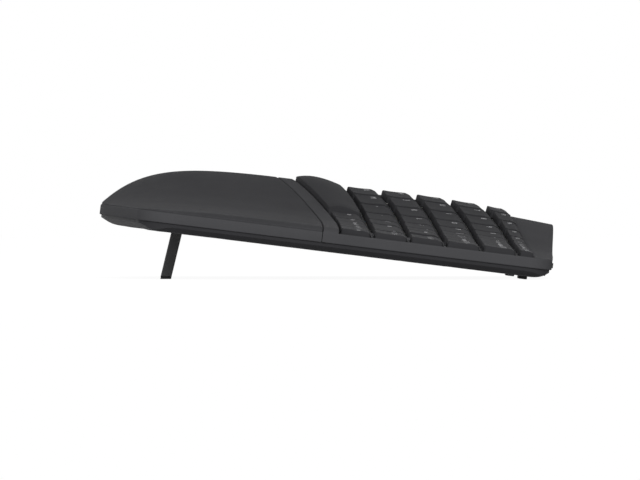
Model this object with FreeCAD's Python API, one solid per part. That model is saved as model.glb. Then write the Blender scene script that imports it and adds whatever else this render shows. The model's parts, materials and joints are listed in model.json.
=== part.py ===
import FreeCAD, Part
import math
import os
from FreeCAD import Matrix, Placement, Rotation, Vector

# A full-size curved split keyboard that stands on two tall legs under its palm rest.
# Everything is laid out in the keyboard's own frame: X to the right from the middle, Y to the rear
# from the front edge, Z up from the underside. At the end the whole part is tilted onto its legs.

# Overall size
WIDTH = 456.0            # left side to right side
DEPTH = 233.9            # front edge to rear edge, at the split
TILT = 7.0               # degrees that the deployed legs raise the front
SPLIT_X = -86.0          # where the two halves meet, which is also the highest line of the case

# Plan outline
FRONT_RIGHT = 22.0       # how far the front edge falls back at the right side
FRONT_LEFT = 12.0        # and at the left side
REAR_RIGHT = 4.3         # how far the rear edge comes forward at the right side
REAR_LEFT = 3.0          # and at the left side
FRONT_CORNER = 20.5      # corner radii
REAR_CORNER = 11.0

# Rim band round the case, and the base tray under it
RIM_LOW = 4.4
RIM_TOP = 9.7
WALL = 2.0
FLOOR = 1.5              # wall of the base tray
BASE_INSET = 1.0         # the tray stands in from the rim band by this much
ROUND_FRONT = 9.0        # length over which the underside rises to the front edge
ROUND_REAR = 7.5
ROUND_SIDE = 5.0
ROUND_LIFT = 3.6         # height of that rise
CAVITY_WALL = 3.0        # inset of the tray's hollow from the plan outline

# Height of the case along the split, and how it falls to both sides
PAD_TOP = 34.7           # top of the palm rest
KEY_TOP = 35.2           # tops of the keys in the middle rows
REAR_FALL = 4.4          # how far the section falls from the middle rows to the rear edge
REAR_FALL_START = 150.0
CAP_RISE = 3.2           # key top above the frame
DROP_REACH = 70.0        # distance from the split where most of the fall has happened
FALL = 0.016             # slope that is left on the number pad
FALL_BLEND = 15.0
PAD_RUN = 84.0           # length over which the palm rest rises from its front edge
PAD_ROUND = 26.3
SIDE_ROLL = 8.0          # width over which the palm rest rolls down to its sides
SIDE_ROLL_POWER = 2.5

# Rows of keys: they curve back on both sides of the split
SMILE = 16.4
SMILE_REACH = 62.0
SMILE_POWER = 1.6
ROW_LINES = (105.0, 122.4, 140.9, 159.2, 177.7, 196.0, 211.0)
LAST_LINE_CURVE = 0.65   # the line behind the last row curves less
SPACE_BULGE = 8.0        # the space bars swell forward at the split
SPACE_BULGE_REACH = 70.0
STRIP = 7.7              # width of the frame's strip in front of the first row
STRIP_LEDGE = 0.4        # ledge between the strip and the first row's slots
SEAM_GAP = 0.3

# Key blocks, as X positions
KEYS_LEFT = -221.0
MAIN_RIGHT = 82.0
NAV_LEFT = 87.0
NAV_RIGHT = 143.0
PAD_LEFT = 148.0
PAD_RIGHT = 221.5
SPLIT_GAP = (3.0, 13.0, 10.5, 8.5, 7.0, 5.5)   # half of the gap at the split, row by row
SPACE_LEFT_END = -158.0
SPACE_RIGHT_END = -5.0
SPACE_SHORT = 0.4        # the outer end of each space bar stops this much short of its place

# Keycaps
CAP_GAP = 2.1            # between two rows
CAP_GAP_X = 1.7          # between two keys of a row
CAP_SKIRT = 1.0          # skirt below the frame's face
CAP_WALL = 1.0
CAP_TOP = 1.2
CAP_BEVEL = 3.2          # length of the bevel along the rear of each cap
CAP_BEVEL_FALL = 1.2
CAP_SCOOP = 0.2          # fall of a cap's top towards its bevel
CAP_ROUND = 0.9
CAP_DRAFT = 0.4          # lean of a cap's front and rear
WIDE_KEY = 32.0          # caps longer than this have two stems
STEM_SHARE = 0.22        # each at this share of the cap's length from its end
SPACE_RISE = 2.6         # crown of a space bar above the other keys
TRAVEL = 1.8             # how far a key goes down
TRAVEL_SPARE = 0.6       # left under a key that is fully down
RIB_CLEAR = 0.5          # cap to the rib between two rows
END_CLEAR = 1.1          # cap to the end of its slot
SPLIT_CLEAR = 1.15       # and this much more at the split, where the caps stand askew

# Layers under the keys, measured down from the frame's face
FRAME_THICK = 1.6
GUIDE_TOP = CAP_SKIRT + TRAVEL + TRAVEL_SPARE
GUIDE_THICK = 0.6
CAP_CEILING = CAP_RISE - CAP_BEVEL_FALL - CAP_WALL
SLEEVE_TOP = TRAVEL + TRAVEL_SPARE - CAP_CEILING
STEM_RADIUS = 1.3
STEM_CLEAR = 0.45
STEM_PROUD = 0.3         # a resting stem's foot below the guide plate
SLEEVE_WALL = 0.5
SLEEVE_CLEAR = 0.05
DOME_GAP = 0.2
DOME_CLEAR = 0.55        # stem to the dome's bore
DOME_WALL = 0.7
DOME_FLARE = 0.8
MEMBRANE_THICK = 0.3
PLATE_THICK = 0.5
LAYER_GAP = 0.05
GUIDE_EDGE = 0.6         # the layers end this far inside the rows' outer lines
LAYER_OVER = 0.5         # and run this far past the outermost keys

# Palm rest layers
SKIN = 1.2
SKIN_SEAT = 0.1          # the skin starts this far above the tray's rim
FOAM = 3.0
TRAY_WALL = 1.7
LAYER_CLEAR = 0.15

# Legs
LEG_X = 125.0            # both legs, left and right of the middle
LEG_WIDTH = 28.0
LEG_THICK = 5.3
LEG_AXIS_Y = 41.1
LEG_LEAN = 6.6           # degrees that a deployed leg leans forward in the keyboard's frame
LEG_SIDE_GAP = 0.4
LEG_SINK = 0.1           # a folded leg lies this far inside the underside
LEG_PIN_RADIUS = 1.2
LEG_PIN_CLEAR = 0.08
LEG_PAD = 1.2            # rubber at the tip
POCKET_GAP = 0.25
POCKET_CEILING = 1.1
POCKET_WALL = 2.4
POCKET_END = 1.5         # finger room beyond a folded leg's tip

# Rear feet
FOOT_Y = 216.5
FOOT_DEPTH = 4.4
FOOT_WIDTH = 34.0
FOOT_X = 188.0
FOOT_HEIGHT = 1.7
FOOT_RECESS = 0.5

# Batteries and their door
CELL_RADIUS = 5.2
CELL_LENGTH = 44.0
CELL_NIB = 1.0
CELL_PITCH = 12.0
CELL_X = -86.0
CELL_Y = 168.0
BAY_CLEAR = 0.5
BAY_WALL = 1.4
CONTACT = 0.4
CONTACT_ROOM = 3.0       # room for the contacts at both ends of the cells
DOOR_THICK = 1.6
DOOR_CLEAR = 0.3
DOOR_LIP = 1.2

# Controller board
BOARD_X = -20.0
BOARD_Y = 168.0
BOARD_LONG = 60.0
BOARD_DEEP = 34.0
BOARD_THICK = 1.2
BOARD_POST = 2.5
BOARD_POST_RADIUS = 2.2

# Power switch on the rear edge
SWITCH_X = 196.0
SWITCH_Z = 6.8
SWITCH_LONG = 12.0
SWITCH_HIGH = 3.2
SWITCH_KNOB = 5.0
SWITCH_TRAVEL = 3.0
SWITCH_PROUD = 0.7
SWITCH_CLEAR = 0.3
SWITCH_DEEP = 3.0

# Screws
SCREW_RADIUS = 1.25
SCREW_HEAD_RADIUS = 2.4
SCREW_HEAD = 1.1
SCREW_LONG = 6.2
SCREW_CLEAR = 0.08
SCREW_RECESS = 0.3
BOSS_FLOOR = 1.2         # thickness of a boss above a screw's head
POST_RADIUS = 3.0
POST_GAP = 0.2
SCREW_SPOTS_REAR = (-150.0, -40.0, 60.0)
SCREW_REAR_INSET = 6.4
SCREW_SPOTS_FRONT = (-195.0, -95.0, 20.0, 190.0)
SCREW_FRONT_Y = 83.0

SLEEVE_RADIUS = STEM_RADIUS + STEM_CLEAR + SLEEVE_WALL
DOME_HEIGHT = STEM_PROUD + TRAVEL - DOME_GAP
MEMBRANE_DEPTH = GUIDE_TOP + GUIDE_THICK + DOME_GAP + DOME_HEIGHT + TRAVEL_SPARE
LEG_AXIS_Z = LEG_THICK / 2 + LEG_SINK
PIVOT_Y = FOOT_Y + FOOT_DEPTH / 2
SIDE = WIDTH / 2
HIGH = 80.0              # taller than anything in the part
PAST = SIDE + 3          # where blocks that are only cut with end, past the sides


def vec(x, y, z=0.0):
    return Vector(x, y, z)


def drop_share(d):
    return 1.0 - math.exp(-(d / DROP_REACH) ** 2)


def gentle_fall(d):
    return FALL * (math.hypot(d, FALL_BLEND) - FALL_BLEND)


FULL_DROP = KEY_TOP - CAP_RISE - RIM_TOP
RUN_RIGHT = PAD_RIGHT - SPLIT_X
RUN_LEFT = SPLIT_X - KEYS_LEFT
DROP_RIGHT = (FULL_DROP - gentle_fall(RUN_RIGHT)) / drop_share(RUN_RIGHT)
DROP_LEFT = (FULL_DROP - gentle_fall(RUN_LEFT)) / drop_share(RUN_LEFT)


def drop(x):
    """How far the case has fallen at x, from its height along the split."""
    d = abs(x - SPLIT_X)
    deep = DROP_RIGHT if x > SPLIT_X else DROP_LEFT
    return deep * drop_share(d) + gentle_fall(d)


def smile(x):
    """How far the rows have curved back at x."""
    return SMILE * (1.0 - math.exp(-(abs(x - SPLIT_X) / SMILE_REACH) ** SMILE_POWER))


def row_line(row, x):
    """Y of the line in front of a row (0 is the space bars' row, 6 lies behind the last row)."""
    if row == 0:
        bulge = SPACE_BULGE * math.exp(-((x - SPLIT_X) / SPACE_BULGE_REACH) ** 2)
        return ROW_LINES[0] + smile(x) - bulge
    if row == 6:
        return ROW_LINES[6] + LAST_LINE_CURVE * smile(x)
    return ROW_LINES[row] + smile(x)


def seam_line(x):
    """Y of the joint between the palm rest and the key frame."""
    return row_line(0, x) - STRIP


def frame_level(x, y):
    """Height of the frame's face in the key field: the section at the split, scaled down sideways."""
    back = max(0.0, y - smile(x) - REAR_FALL_START) / (DEPTH - REAR_FALL_START)
    crown = KEY_TOP - CAP_RISE - REAR_FALL * back ** 1.5
    return RIM_TOP + (crown - RIM_TOP) * (1.0 - drop(x) / FULL_DROP)


def arc_radius(run, rise):
    return (run * run + rise * rise) / (2.0 * rise)


def front_edge(x):
    """Y of the front edge, an arc on each side of the split, without its corners."""
    rise = FRONT_RIGHT if x > SPLIT_X else FRONT_LEFT
    run = SIDE - SPLIT_X if x > SPLIT_X else SIDE + SPLIT_X
    radius = arc_radius(run, rise)
    return radius - math.sqrt(radius ** 2 - (x - SPLIT_X) ** 2)


def rear_edge(x):
    """Y of the rear edge, an arc on each side of the split, without its corners."""
    rise = REAR_RIGHT if x > SPLIT_X else REAR_LEFT
    run = SIDE - SPLIT_X if x > SPLIT_X else SIDE + SPLIT_X
    radius = arc_radius(run, rise)
    return DEPTH - radius + math.sqrt(radius ** 2 - (x - SPLIT_X) ** 2)


def pad_share(t):
    """Rise of the palm rest at t behind its front edge, as a share of its full height."""
    if t >= PAD_RUN:
        return 1.0
    return 1.0 - (1.0 - t / PAD_RUN) * math.exp(-t / PAD_ROUND)


def pad_level(x, y):
    """Height of the palm rest's face, which the frame's front strip continues."""
    roll = max(0.0, abs(x) - SIDE + SIDE_ROLL) / SIDE_ROLL
    lift = (PAD_TOP - RIM_TOP - drop(x)) * (1.0 - roll ** SIDE_ROLL_POWER)
    return RIM_TOP + lift * pad_share(y - front_edge(x))


def rise_share(t, reach):
    return max(0.0, 1.0 - t / reach) ** 1.5


def base_level(x, y):
    """Height of the underside, which rises towards the edges."""
    left = 1.0 - rise_share(y - front_edge(x), ROUND_FRONT)
    left *= 1.0 - rise_share(rear_edge(x) - y, ROUND_REAR)
    left *= 1.0 - rise_share(SIDE - abs(x), ROUND_SIDE)
    return ROUND_LIFT * (1.0 - left)


def steps(low, high, size):
    count = max(2, int(round((high - low) / size)))
    return [low + (high - low) * i / count for i in range(count + 1)]


def level_face(level, columns, rows_at):
    """A smooth face through level(x, y) on a grid; rows_at(x) gives the Y values of one column."""
    grid = [[vec(x, y, level(x, y)) for y in rows_at(x)] for x in columns]
    surface = Part.BSplineSurface()
    surface.interpolate(grid)
    return surface.toShape()


def under(face):
    """Everything below a level face."""
    return face.extrude(vec(0, 0, -HIGH))


def over(face):
    """Everything above a level face."""
    return face.extrude(vec(0, 0, HIGH))


def lowered(shape, distance):
    moved = shape.copy()
    moved.translate(vec(0, 0, -distance))
    return moved


def pad_face():
    behind_edge = [-5, 0, 6, 14, 24, 38, 56, 84, 110, 136]
    edge = [PAST, SIDE, SIDE - 3, SIDE - SIDE_ROLL, SIDE - 2 * SIDE_ROLL]
    columns = [-x for x in edge] + steps(-SIDE + 36, SIDE - 36, 20.0) + edge[::-1]
    return level_face(pad_level, columns, lambda x: [front_edge(x) + t for t in behind_edge])


def frame_face():
    field = [86, 105, 130, 150, 165, 180, 200, 220, DEPTH + 6]
    columns = steps(-SIDE - 4, SIDE + 4, 20.0)
    return level_face(frame_level, columns, lambda x: [v + smile(x) for v in field])


def base_face():
    inside = [-3, 1, 5, 9, 13, 18, 30]

    def rows_at(x):
        front, rear = front_edge(x), rear_edge(x)
        middle = steps(front + 60, rear - 60, 50.0)
        return [front + t for t in inside] + middle + [rear - t for t in reversed(inside)]

    edge = [PAST, SIDE, SIDE - 2, SIDE - ROUND_SIDE, SIDE - 9, SIDE - 20]
    columns = [-x for x in edge] + steps(-SIDE + 50, SIDE - 50, 60.0) + edge[::-1]
    return level_face(base_level, columns, rows_at)


def arc_edge(x0, y0, x1, y1):
    """An arc that leaves its first point along X and ends at its second."""
    radius = arc_radius(x1 - x0, y1 - y0)
    half = math.asin((x1 - x0) / radius) / 2
    middle = vec(x0 + radius * math.sin(half), y0 + radius * (1 - math.cos(half)))
    return Part.Arc(vec(x0, y0), middle, vec(x1, y1)).toShape()


def corner_edges(block, low, high):
    """Upright edges of a block on its straight sides, with Y between low and high."""
    upright = [e for e in block.Edges if abs(e.Vertexes[0].Z - e.Vertexes[-1].Z) > 0.5]
    return [e for e in upright if abs(abs(e.Vertexes[0].X) - SIDE) < 1e-6 and low < e.Vertexes[0].Y < high]


def plan_outline():
    """The plan outline as one wire: arcs in front and behind, straight sides, round corners."""
    edges = [arc_edge(SPLIT_X, 0, SIDE, FRONT_RIGHT),
             Part.makeLine(vec(SIDE, FRONT_RIGHT), vec(SIDE, DEPTH - REAR_RIGHT)),
             arc_edge(SPLIT_X, DEPTH, SIDE, DEPTH - REAR_RIGHT),
             arc_edge(SPLIT_X, DEPTH, -SIDE, DEPTH - REAR_LEFT),
             Part.makeLine(vec(-SIDE, DEPTH - REAR_LEFT), vec(-SIDE, FRONT_LEFT)),
             arc_edge(SPLIT_X, 0, -SIDE, FRONT_LEFT)]
    wire = Part.Wire(Part.__sortEdges__(edges))
    block = Part.Face(wire).extrude(vec(0, 0, 1))
    block = block.makeFillet(FRONT_CORNER, corner_edges(block, 0, DEPTH / 2))
    block = block.makeFillet(REAR_CORNER, corner_edges(block, DEPTH / 2, DEPTH))
    bottom = min(block.Faces, key=lambda f: f.CenterOfMass.z)
    return bottom.OuterWire


def plan_block(wire, inset, low, high):
    """A block with the plan outline, set in all round."""
    if inset:
        wire = wire.makeOffset2D(-inset)
    face = Part.Face(wire)
    face.translate(vec(0, 0, low))
    return face.extrude(vec(0, 0, high - low))


def curve_edge(line, x0, x1, shift):
    points = [vec(x, line(x) + shift) for x in steps(x0, x1, 16.0)]
    curve = Part.BSplineCurve()
    curve.interpolate(points)
    return curve.toShape()


def zone_block(front, rear, x0, x1, low, high, inset=0.0):
    """A block between two lines that run across the keyboard, from x0 to x1."""
    first = curve_edge(front, x0, x1, inset)
    last = curve_edge(rear, x0, x1, -inset)
    left = Part.makeLine(first.Vertexes[0].Point, last.Vertexes[0].Point)
    right = Part.makeLine(first.Vertexes[1].Point, last.Vertexes[1].Point)
    wire = Part.Wire(Part.__sortEdges__([first, right, last, left]))
    face = Part.Face(wire)
    face.translate(vec(0, 0, low))
    return face.extrude(vec(0, 0, high - low))


def box(x0, x1, y0, y1, z0, z1):
    return Part.makeBox(x1 - x0, y1 - y0, z1 - z0, vec(x0, y0, z0))


def rod(start, direction, radius, length):
    return Part.makeCylinder(radius, length, start, direction)


def main_blocks():
    """The letter rows on both sides of the split; each block holds nodes with their keys' widths."""
    left_half = (
        (("shift_key_left", (1.6,)), ("bottom_letters_left", (1, 1, 1, 1, 1))),
        (("caps_lock_key", (1.6,)), ("home_letters_left", (1, 1, 1, 1, 1))),
        (("tab_key", (1.5,)), ("top_letters_left", (1, 1, 1, 1, 1.1))),
        (("number_row_left", (1.35, 1, 1, 1, 1, 1.15)),),
        (("function_row_left", (1.3, 1, 1, 1, 1, 1)),))
    right_half = (
        (("bottom_letters_right", (1, 1, 1, 1, 1)), ("shift_key_right", (2.9,))),
        (("home_letters_right", (1, 1, 1, 1, 1, 1)), ("enter_key", (2.1,))),
        (("top_letters_right", (1.05, 1, 1, 1, 1, 1, 1, 1.35)),),
        (("number_row_right", (1.1, 1, 1, 1, 1, 1, 1)), ("backspace_key", (1.6,))),
        (("function_row_right", (1, 1, 1, 1, 1, 1, 1, 1)),))
    left = [(row, KEYS_LEFT, SPLIT_X - SPLIT_GAP[row], nodes) for row, nodes in enumerate(left_half, 1)]
    right = [(row, SPLIT_X + SPLIT_GAP[row], MAIN_RIGHT, nodes) for row, nodes in enumerate(right_half, 1)]
    return left + right


def first_row_blocks():
    return [(0, KEYS_LEFT, SPACE_LEFT_END, (("modifier_keys_left", (1.15, 1, 1)),)),
            (0, SPACE_LEFT_END, SPLIT_X - SPLIT_GAP[0], (("space_key_left", (1,)),)),
            (0, SPLIT_X + SPLIT_GAP[0], SPACE_RIGHT_END, (("space_key_right", (1,)),)),
            (0, SPACE_RIGHT_END, MAIN_RIGHT, (("modifier_keys_right", (1, 1, 1, 1.15)),))]


def navigation_blocks():
    key = (NAV_RIGHT - NAV_LEFT) / 3
    return [(0, NAV_LEFT, NAV_RIGHT, (("arrow_keys_lower", (1, 1, 1)),)),
            (1, NAV_LEFT + key, NAV_RIGHT - key, (("arrow_key_up", (1,)),)),
            (3, NAV_LEFT, NAV_RIGHT, (("nav_lower_row", (1, 1, 1)),)),
            (4, NAV_LEFT, NAV_RIGHT, (("nav_upper_row", (1, 1, 1)),)),
            (5, NAV_LEFT, NAV_RIGHT, (("nav_top_row", (1, 1, 1)),))]


def number_pad_blocks():
    names = ("numpad_zero_row", "numpad_one_row", "numpad_four_row",
             "numpad_seven_row", "numpad_lock_row", "numpad_top_row")
    return [(row, PAD_LEFT, PAD_RIGHT, ((name, (2, 1, 1) if row == 0 else (1, 1, 1, 1)),))
            for row, name in enumerate(names)]


def key_blocks():
    """Every block of keys as its row, its X range and its nodes with their keys' widths."""
    return main_blocks() + first_row_blocks() + navigation_blocks() + number_pad_blocks()


def keys_of(block):
    """Node, row and X range of each key in a block."""
    row, x0, x1, nodes = block
    total = sum(sum(widths) for _, widths in nodes)
    keys = []
    x = x0
    for node, widths in nodes:
        for width in widths:
            step = (x1 - x0) * width / total
            keys.append((node, row, x, x + step))
            x += step
    return keys


def key_frame_at(row, x0, x1):
    """Centre, axes, length and depth of a key on the frame's face; the depth fits its row all along."""
    def middle(x):
        y = (row_line(row, x) + row_line(row + 1, x)) / 2
        return vec(x, y, frame_level(x, y))

    x = (x0 + x1) / 2
    centre = middle(x)
    along = middle(x1) - middle(x0)
    length = along.Length
    along.normalize()
    near, far = centre.y - 5, centre.y + 5
    back = vec(0, far - near, frame_level(x, far) - frame_level(x, near))
    normal = along.cross(back)
    normal.normalize()
    room = []
    for at in (x0, x, x1):
        y = centre.y + (at - x) * along.y / along.x
        room += [y - row_line(row, at), row_line(row + 1, at) - y]
    return centre, along, normal, length, 2 * along.x * min(room)


def key_placement(centre, along, normal):
    back = normal.cross(along)
    return Placement(Matrix(along.x, back.x, normal.x, centre.x,
                            along.y, back.y, normal.y, centre.y,
                            along.z, back.z, normal.z, centre.z,
                            0, 0, 0, 1))


def stem_points(key):
    """Where a key's stems cross the frame's face, their direction, and the face's normal there."""
    _, row, x0, x1 = key
    centre, _, normal, length, _ = key_frame_at(row, x0, x1)
    if length < WIDE_KEY:
        return [(centre, normal, normal)]
    spots = [x0 + (x1 - x0) * share for share in (STEM_SHARE, 1 - STEM_SHARE)]
    local = [key_frame_at(row, x - 1, x + 1) for x in spots]
    return [(place[0], normal, place[2]) for place in local]


def stems_of(key, top):
    stems = []
    for point, normal, _ in stem_points(key):
        reach = (GUIDE_TOP + GUIDE_THICK + STEM_PROUD) * normal.z
        stems.append(rod(point - normal * reach, normal, STEM_RADIUS, reach + top))
    return stems


def keycap(key):
    """A hollow cap with an upright front, a flat top and a bevel along its rear, on its stems."""
    centre, along, normal, length, pitch = key_frame_at(*key[1:])
    half = (length - CAP_GAP_X) / 2
    y = (pitch - CAP_GAP) / 2
    bevel = min(CAP_BEVEL, y / 2)
    section = [(-y, -CAP_SKIRT), (-y + CAP_DRAFT, CAP_RISE), (y - bevel, CAP_RISE - CAP_SCOOP),
               (y - CAP_DRAFT, CAP_RISE - CAP_BEVEL_FALL), (y, -CAP_SKIRT)]
    points = [vec(-half, a, b) for a, b in section]
    body = Part.Face(Part.makePolygon(points + points[:1])).extrude(vec(2 * half, 0, 0))
    ends = [e for e in body.Edges if abs(e.Vertexes[0].X - e.Vertexes[1].X) < 1e-6
            and max(v.Z for v in e.Vertexes) > 0 and min(v.Z for v in e.Vertexes) > 0]
    body = body.makeFillet(CAP_ROUND, ends)
    inner = box(CAP_WALL - half, half - CAP_WALL, CAP_WALL - y, y - CAP_WALL,
                -CAP_SKIRT - 1, CAP_CEILING)
    body = body.cut(inner)
    body.Placement = key_placement(centre, along, normal)
    return body.fuse(stems_of(key, CAP_RISE - CAP_TOP))


def space_section(x, inset, sink):
    """Section of a space bar at x: an upright front, a crowned top and a lower rear."""
    y0 = row_line(0, x) + CAP_GAP / 2 + inset
    y1 = row_line(1, x) - CAP_GAP / 2 - inset
    deep = y1 - y0
    face = frame_level(x, (y0 + y1) / 2)
    foot = face - CAP_SKIRT - 2 * sink
    top = face + CAP_RISE - sink
    crown = [vec(x, y0 + CAP_DRAFT, top + 0.55 * SPACE_RISE), vec(x, y0 + 0.33 * deep, top + SPACE_RISE),
             vec(x, y0 + 0.7 * deep, top + 0.65 * SPACE_RISE), vec(x, y1 - CAP_DRAFT, top - 0.1)]
    curve = Part.BSplineCurve()
    curve.interpolate(crown)
    a, b = vec(x, y0, foot), vec(x, y1, foot)
    return Part.Wire([Part.makeLine(a, crown[0]), curve.toShape(),
                      Part.makeLine(crown[-1], b), Part.makeLine(b, a)])


def space_key(key):
    """A space bar: a hollow crowned cap that follows the curve of its row, on two stems."""
    low, high = key[2] + CAP_GAP_X / 2, key[3] - CAP_GAP_X / 2
    if low < SPLIT_X:
        low += SPACE_SHORT
    else:
        high -= SPACE_SHORT
    body = Part.makeLoft([space_section(x, 0.0, 0.0) for x in steps(low, high, 13.0)], True, False)
    inside = steps(low + CAP_WALL, high - CAP_WALL, 13.0)
    inner = Part.makeLoft([space_section(x, CAP_WALL, CAP_TOP) for x in inside], True, False)
    return body.cut(inner).fuse(stems_of(key, CAP_RISE + 0.85 * SPACE_RISE - CAP_TOP / 2))


def all_keys():
    return [key for block in key_blocks() for key in keys_of(block)]


def key_nodes():
    """One compound of caps for each key node."""
    nodes = {}
    for key in all_keys():
        cap = space_key(key) if key[0].startswith("space") else keycap(key)
        nodes.setdefault(key[0], []).append(cap)
    return {name: Part.makeCompound(caps) for name, caps in nodes.items()}


def key_layer(face, top, thick):
    """A sheet of even thickness that follows the key field at a depth below the frame's face."""
    sheet = under(lowered(face, top)).cut(under(lowered(face, top + thick)))
    field = zone_block(lambda x: row_line(0, x), lambda x: row_line(6, x),
                       KEYS_LEFT - LAYER_OVER, PAD_RIGHT + LAYER_OVER, 0, HIGH, GUIDE_EDGE)
    return sheet.common(field)


def along_stems(radius, top, foot):
    """A rod round every stem, between two depths below the frame's face."""
    rods = []
    for key in all_keys():
        for point, normal, _ in stem_points(key):
            rods.append(rod(point - normal * (foot * normal.z), normal, radius, foot * normal.z - top))
    return rods


def key_guide_plate(face):
    """The plate under the caps, with a hole for each bush."""
    holes = along_stems(SLEEVE_RADIUS + SLEEVE_CLEAR, GUIDE_TOP - 2, GUIDE_TOP + GUIDE_THICK + 2)
    return key_layer(face, GUIDE_TOP, GUIDE_THICK).cut(Part.makeCompound(holes))


def key_guide_bushes():
    """One bush round each stem, upright in the guide plate."""
    foot = GUIDE_TOP + GUIDE_THICK
    outer = along_stems(SLEEVE_RADIUS, SLEEVE_TOP, foot)
    inner = along_stems(STEM_RADIUS + STEM_CLEAR, SLEEVE_TOP - 1, foot + 1)
    return Part.makeCompound([tube.cut(bore) for tube, bore in zip(outer, inner)])


def rubber_domes():
    """One open-topped rubber cone under each stem, square to the sheet below it."""
    bore = STEM_RADIUS + DOME_CLEAR
    domes = []
    for key in all_keys():
        for point, normal, upright in stem_points(key):
            foot = DOME_HEIGHT * upright.z
            wall = [vec(bore, 0, 0), vec(bore + DOME_WALL, 0, 0),
                    vec(bore + DOME_WALL + DOME_FLARE, 0, -foot), vec(bore + DOME_FLARE, 0, -foot)]
            dome = Part.Face(Part.makePolygon(wall + wall[:1])).revolve(vec(0, 0), vec(0, 0, 1), 360)
            depth = (GUIDE_TOP + GUIDE_THICK + DOME_GAP) * upright.z / normal.dot(upright)
            dome.Placement = Placement(point - normal * depth, Rotation(vec(0, 0, 1), upright))
            domes.append(dome)
    return Part.makeCompound(domes)


def slot_reach(row, x):
    """How far a slot runs on past the end of its block at x."""
    at_split = row > 0 and abs(abs(x - SPLIT_X) - SPLIT_GAP[row]) < 0.01
    return END_CLEAR - CAP_GAP_X / 2 + (SPLIT_CLEAR if at_split else 0.0)


def behind_rear(x):
    return DEPTH + 10


def before_front(x):
    return -10.0


def strip_rear(x):
    return row_line(0, x) + CAP_GAP / 2 - RIB_CLEAR - STRIP_LEDGE


def key_slots():
    """Blocks that cut the slots of the key field, one for each block of keys."""
    slots = []
    for row, x0, x1, _ in key_blocks():
        low, high = x0 - slot_reach(row, x0), x1 + slot_reach(row, x1)
        slots.append(zone_block(lambda x: row_line(row, x), lambda x: row_line(row + 1, x),
                                low, high, 0, HIGH, CAP_GAP / 2 - RIB_CLEAR))
    return Part.makeCompound(slots)


def key_frame(outline, high_face, face):
    """The upper casing: rim band, key field with its slots, front strip and rear deck."""
    block = plan_block(outline, 0, RIM_LOW, HIGH)
    body = block.common(zone_block(seam_line, behind_rear, -PAST, PAST, RIM_LOW, HIGH))
    strip = body.common(zone_block(before_front, strip_rear, -PAST, PAST, 0, HIGH))
    body = body.common(under(face)).fuse(strip.common(under(high_face)))
    room = plan_block(outline, WALL, 0, HIGH).common(under(lowered(face, FRAME_THICK)))
    room = room.common(zone_block(lambda x: seam_line(x) + WALL, behind_rear, -SIDE, SIDE, 0, HIGH))
    posts, bores = screw_posts(rear_screws(), under(lowered(face, FRAME_THICK / 2)))
    return body.cut(room).cut(key_slots()).fuse(posts).cut(bores).cut(switch_window())


def palm_rest_edge(x):
    return seam_line(x) - SEAM_GAP


def palm_rest(outline, high_face):
    """Tray, foam and skin of the palm rest, which follow one face at three depths."""
    zone = zone_block(before_front, palm_rest_edge, -PAST, PAST, 0, HIGH)
    inner_zone = zone_block(before_front, lambda x: palm_rest_edge(x) - WALL, -PAST, PAST, 0, HIGH)
    block = plan_block(outline, 0, RIM_LOW, HIGH).common(zone)
    deep = SKIN + FOAM
    ring = plan_block(outline, 0, RIM_LOW, RIM_TOP).cut(plan_block(outline, WALL, 0, HIGH)).common(zone)
    dome = block.common(under(lowered(high_face, deep)))
    room = plan_block(outline, WALL, 0, HIGH).common(inner_zone)
    room = room.common(under(lowered(high_face, deep + TRAY_WALL)))
    posts, bores = screw_posts(front_screws(), under(lowered(high_face, deep + TRAY_WALL / 2)))
    tray = dome.fuse(ring).cut(room).fuse(posts).cut(bores)
    inside = plan_block(outline, WALL + LAYER_CLEAR, RIM_LOW, HIGH).common(zone)
    foam = inside.common(under(lowered(high_face, SKIN + LAYER_CLEAR)))
    foam = foam.cut(under(lowered(high_face, deep - LAYER_CLEAR)))
    skin = plan_block(outline, 0, RIM_TOP + SKIN_SEAT, HIGH).common(zone)
    skin = skin.common(under(high_face).cut(under(lowered(high_face, SKIN))))
    return tray, foam, skin


def rear_screws():
    return [(x, rear_edge(x) - SCREW_REAR_INSET) for x in SCREW_SPOTS_REAR]


def front_screws():
    return [(x, SCREW_FRONT_Y) for x in SCREW_SPOTS_FRONT]


def screw_levels(x, y):
    """Underside of a screw's head, top of its head and top of the boss in the base."""
    head = base_level(x, y + SCREW_HEAD_RADIUS) + SCREW_RECESS
    return head, head + SCREW_HEAD, head + SCREW_HEAD + BOSS_FLOOR


def screw_posts(spots, below):
    """Posts that hang from a casing down to the base's bosses, and the holes for the screws."""
    posts, bores = [], []
    for x, y in spots:
        head, boss = screw_levels(x, y)[::2]
        start = boss + POST_GAP
        posts.append(rod(vec(x, y, start), vec(0, 0, 1), POST_RADIUS, HIGH / 2).common(below))
        bores.append(rod(vec(x, y, 0), vec(0, 0, 1), SCREW_RADIUS + SCREW_CLEAR, head + SCREW_LONG + 0.4))
    return posts, Part.makeCompound(bores)


def case_screws():
    screws = []
    for x, y in rear_screws() + front_screws():
        head = screw_levels(x, y)[0]
        screw = rod(vec(x, y, head), vec(0, 0, 1), SCREW_HEAD_RADIUS, SCREW_HEAD)
        screws.append(screw.fuse(rod(vec(x, y, head), vec(0, 0, 1), SCREW_RADIUS, SCREW_LONG)))
    return Part.makeCompound(screws)


def floor_level(y):
    """Height of the floor in the keyboard's frame, through the rear feet and the legs' tips."""
    return -FOOT_HEIGHT - (PIVOT_Y - y) * math.tan(math.radians(TILT))


def leg_length():
    """From the hinge axis to the floor, along a deployed leg."""
    lean = math.radians(LEG_LEAN)
    slope = math.tan(math.radians(TILT))
    return (LEG_AXIS_Z - floor_level(LEG_AXIS_Y)) / (math.cos(lean) - math.sin(lean) * slope)


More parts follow.
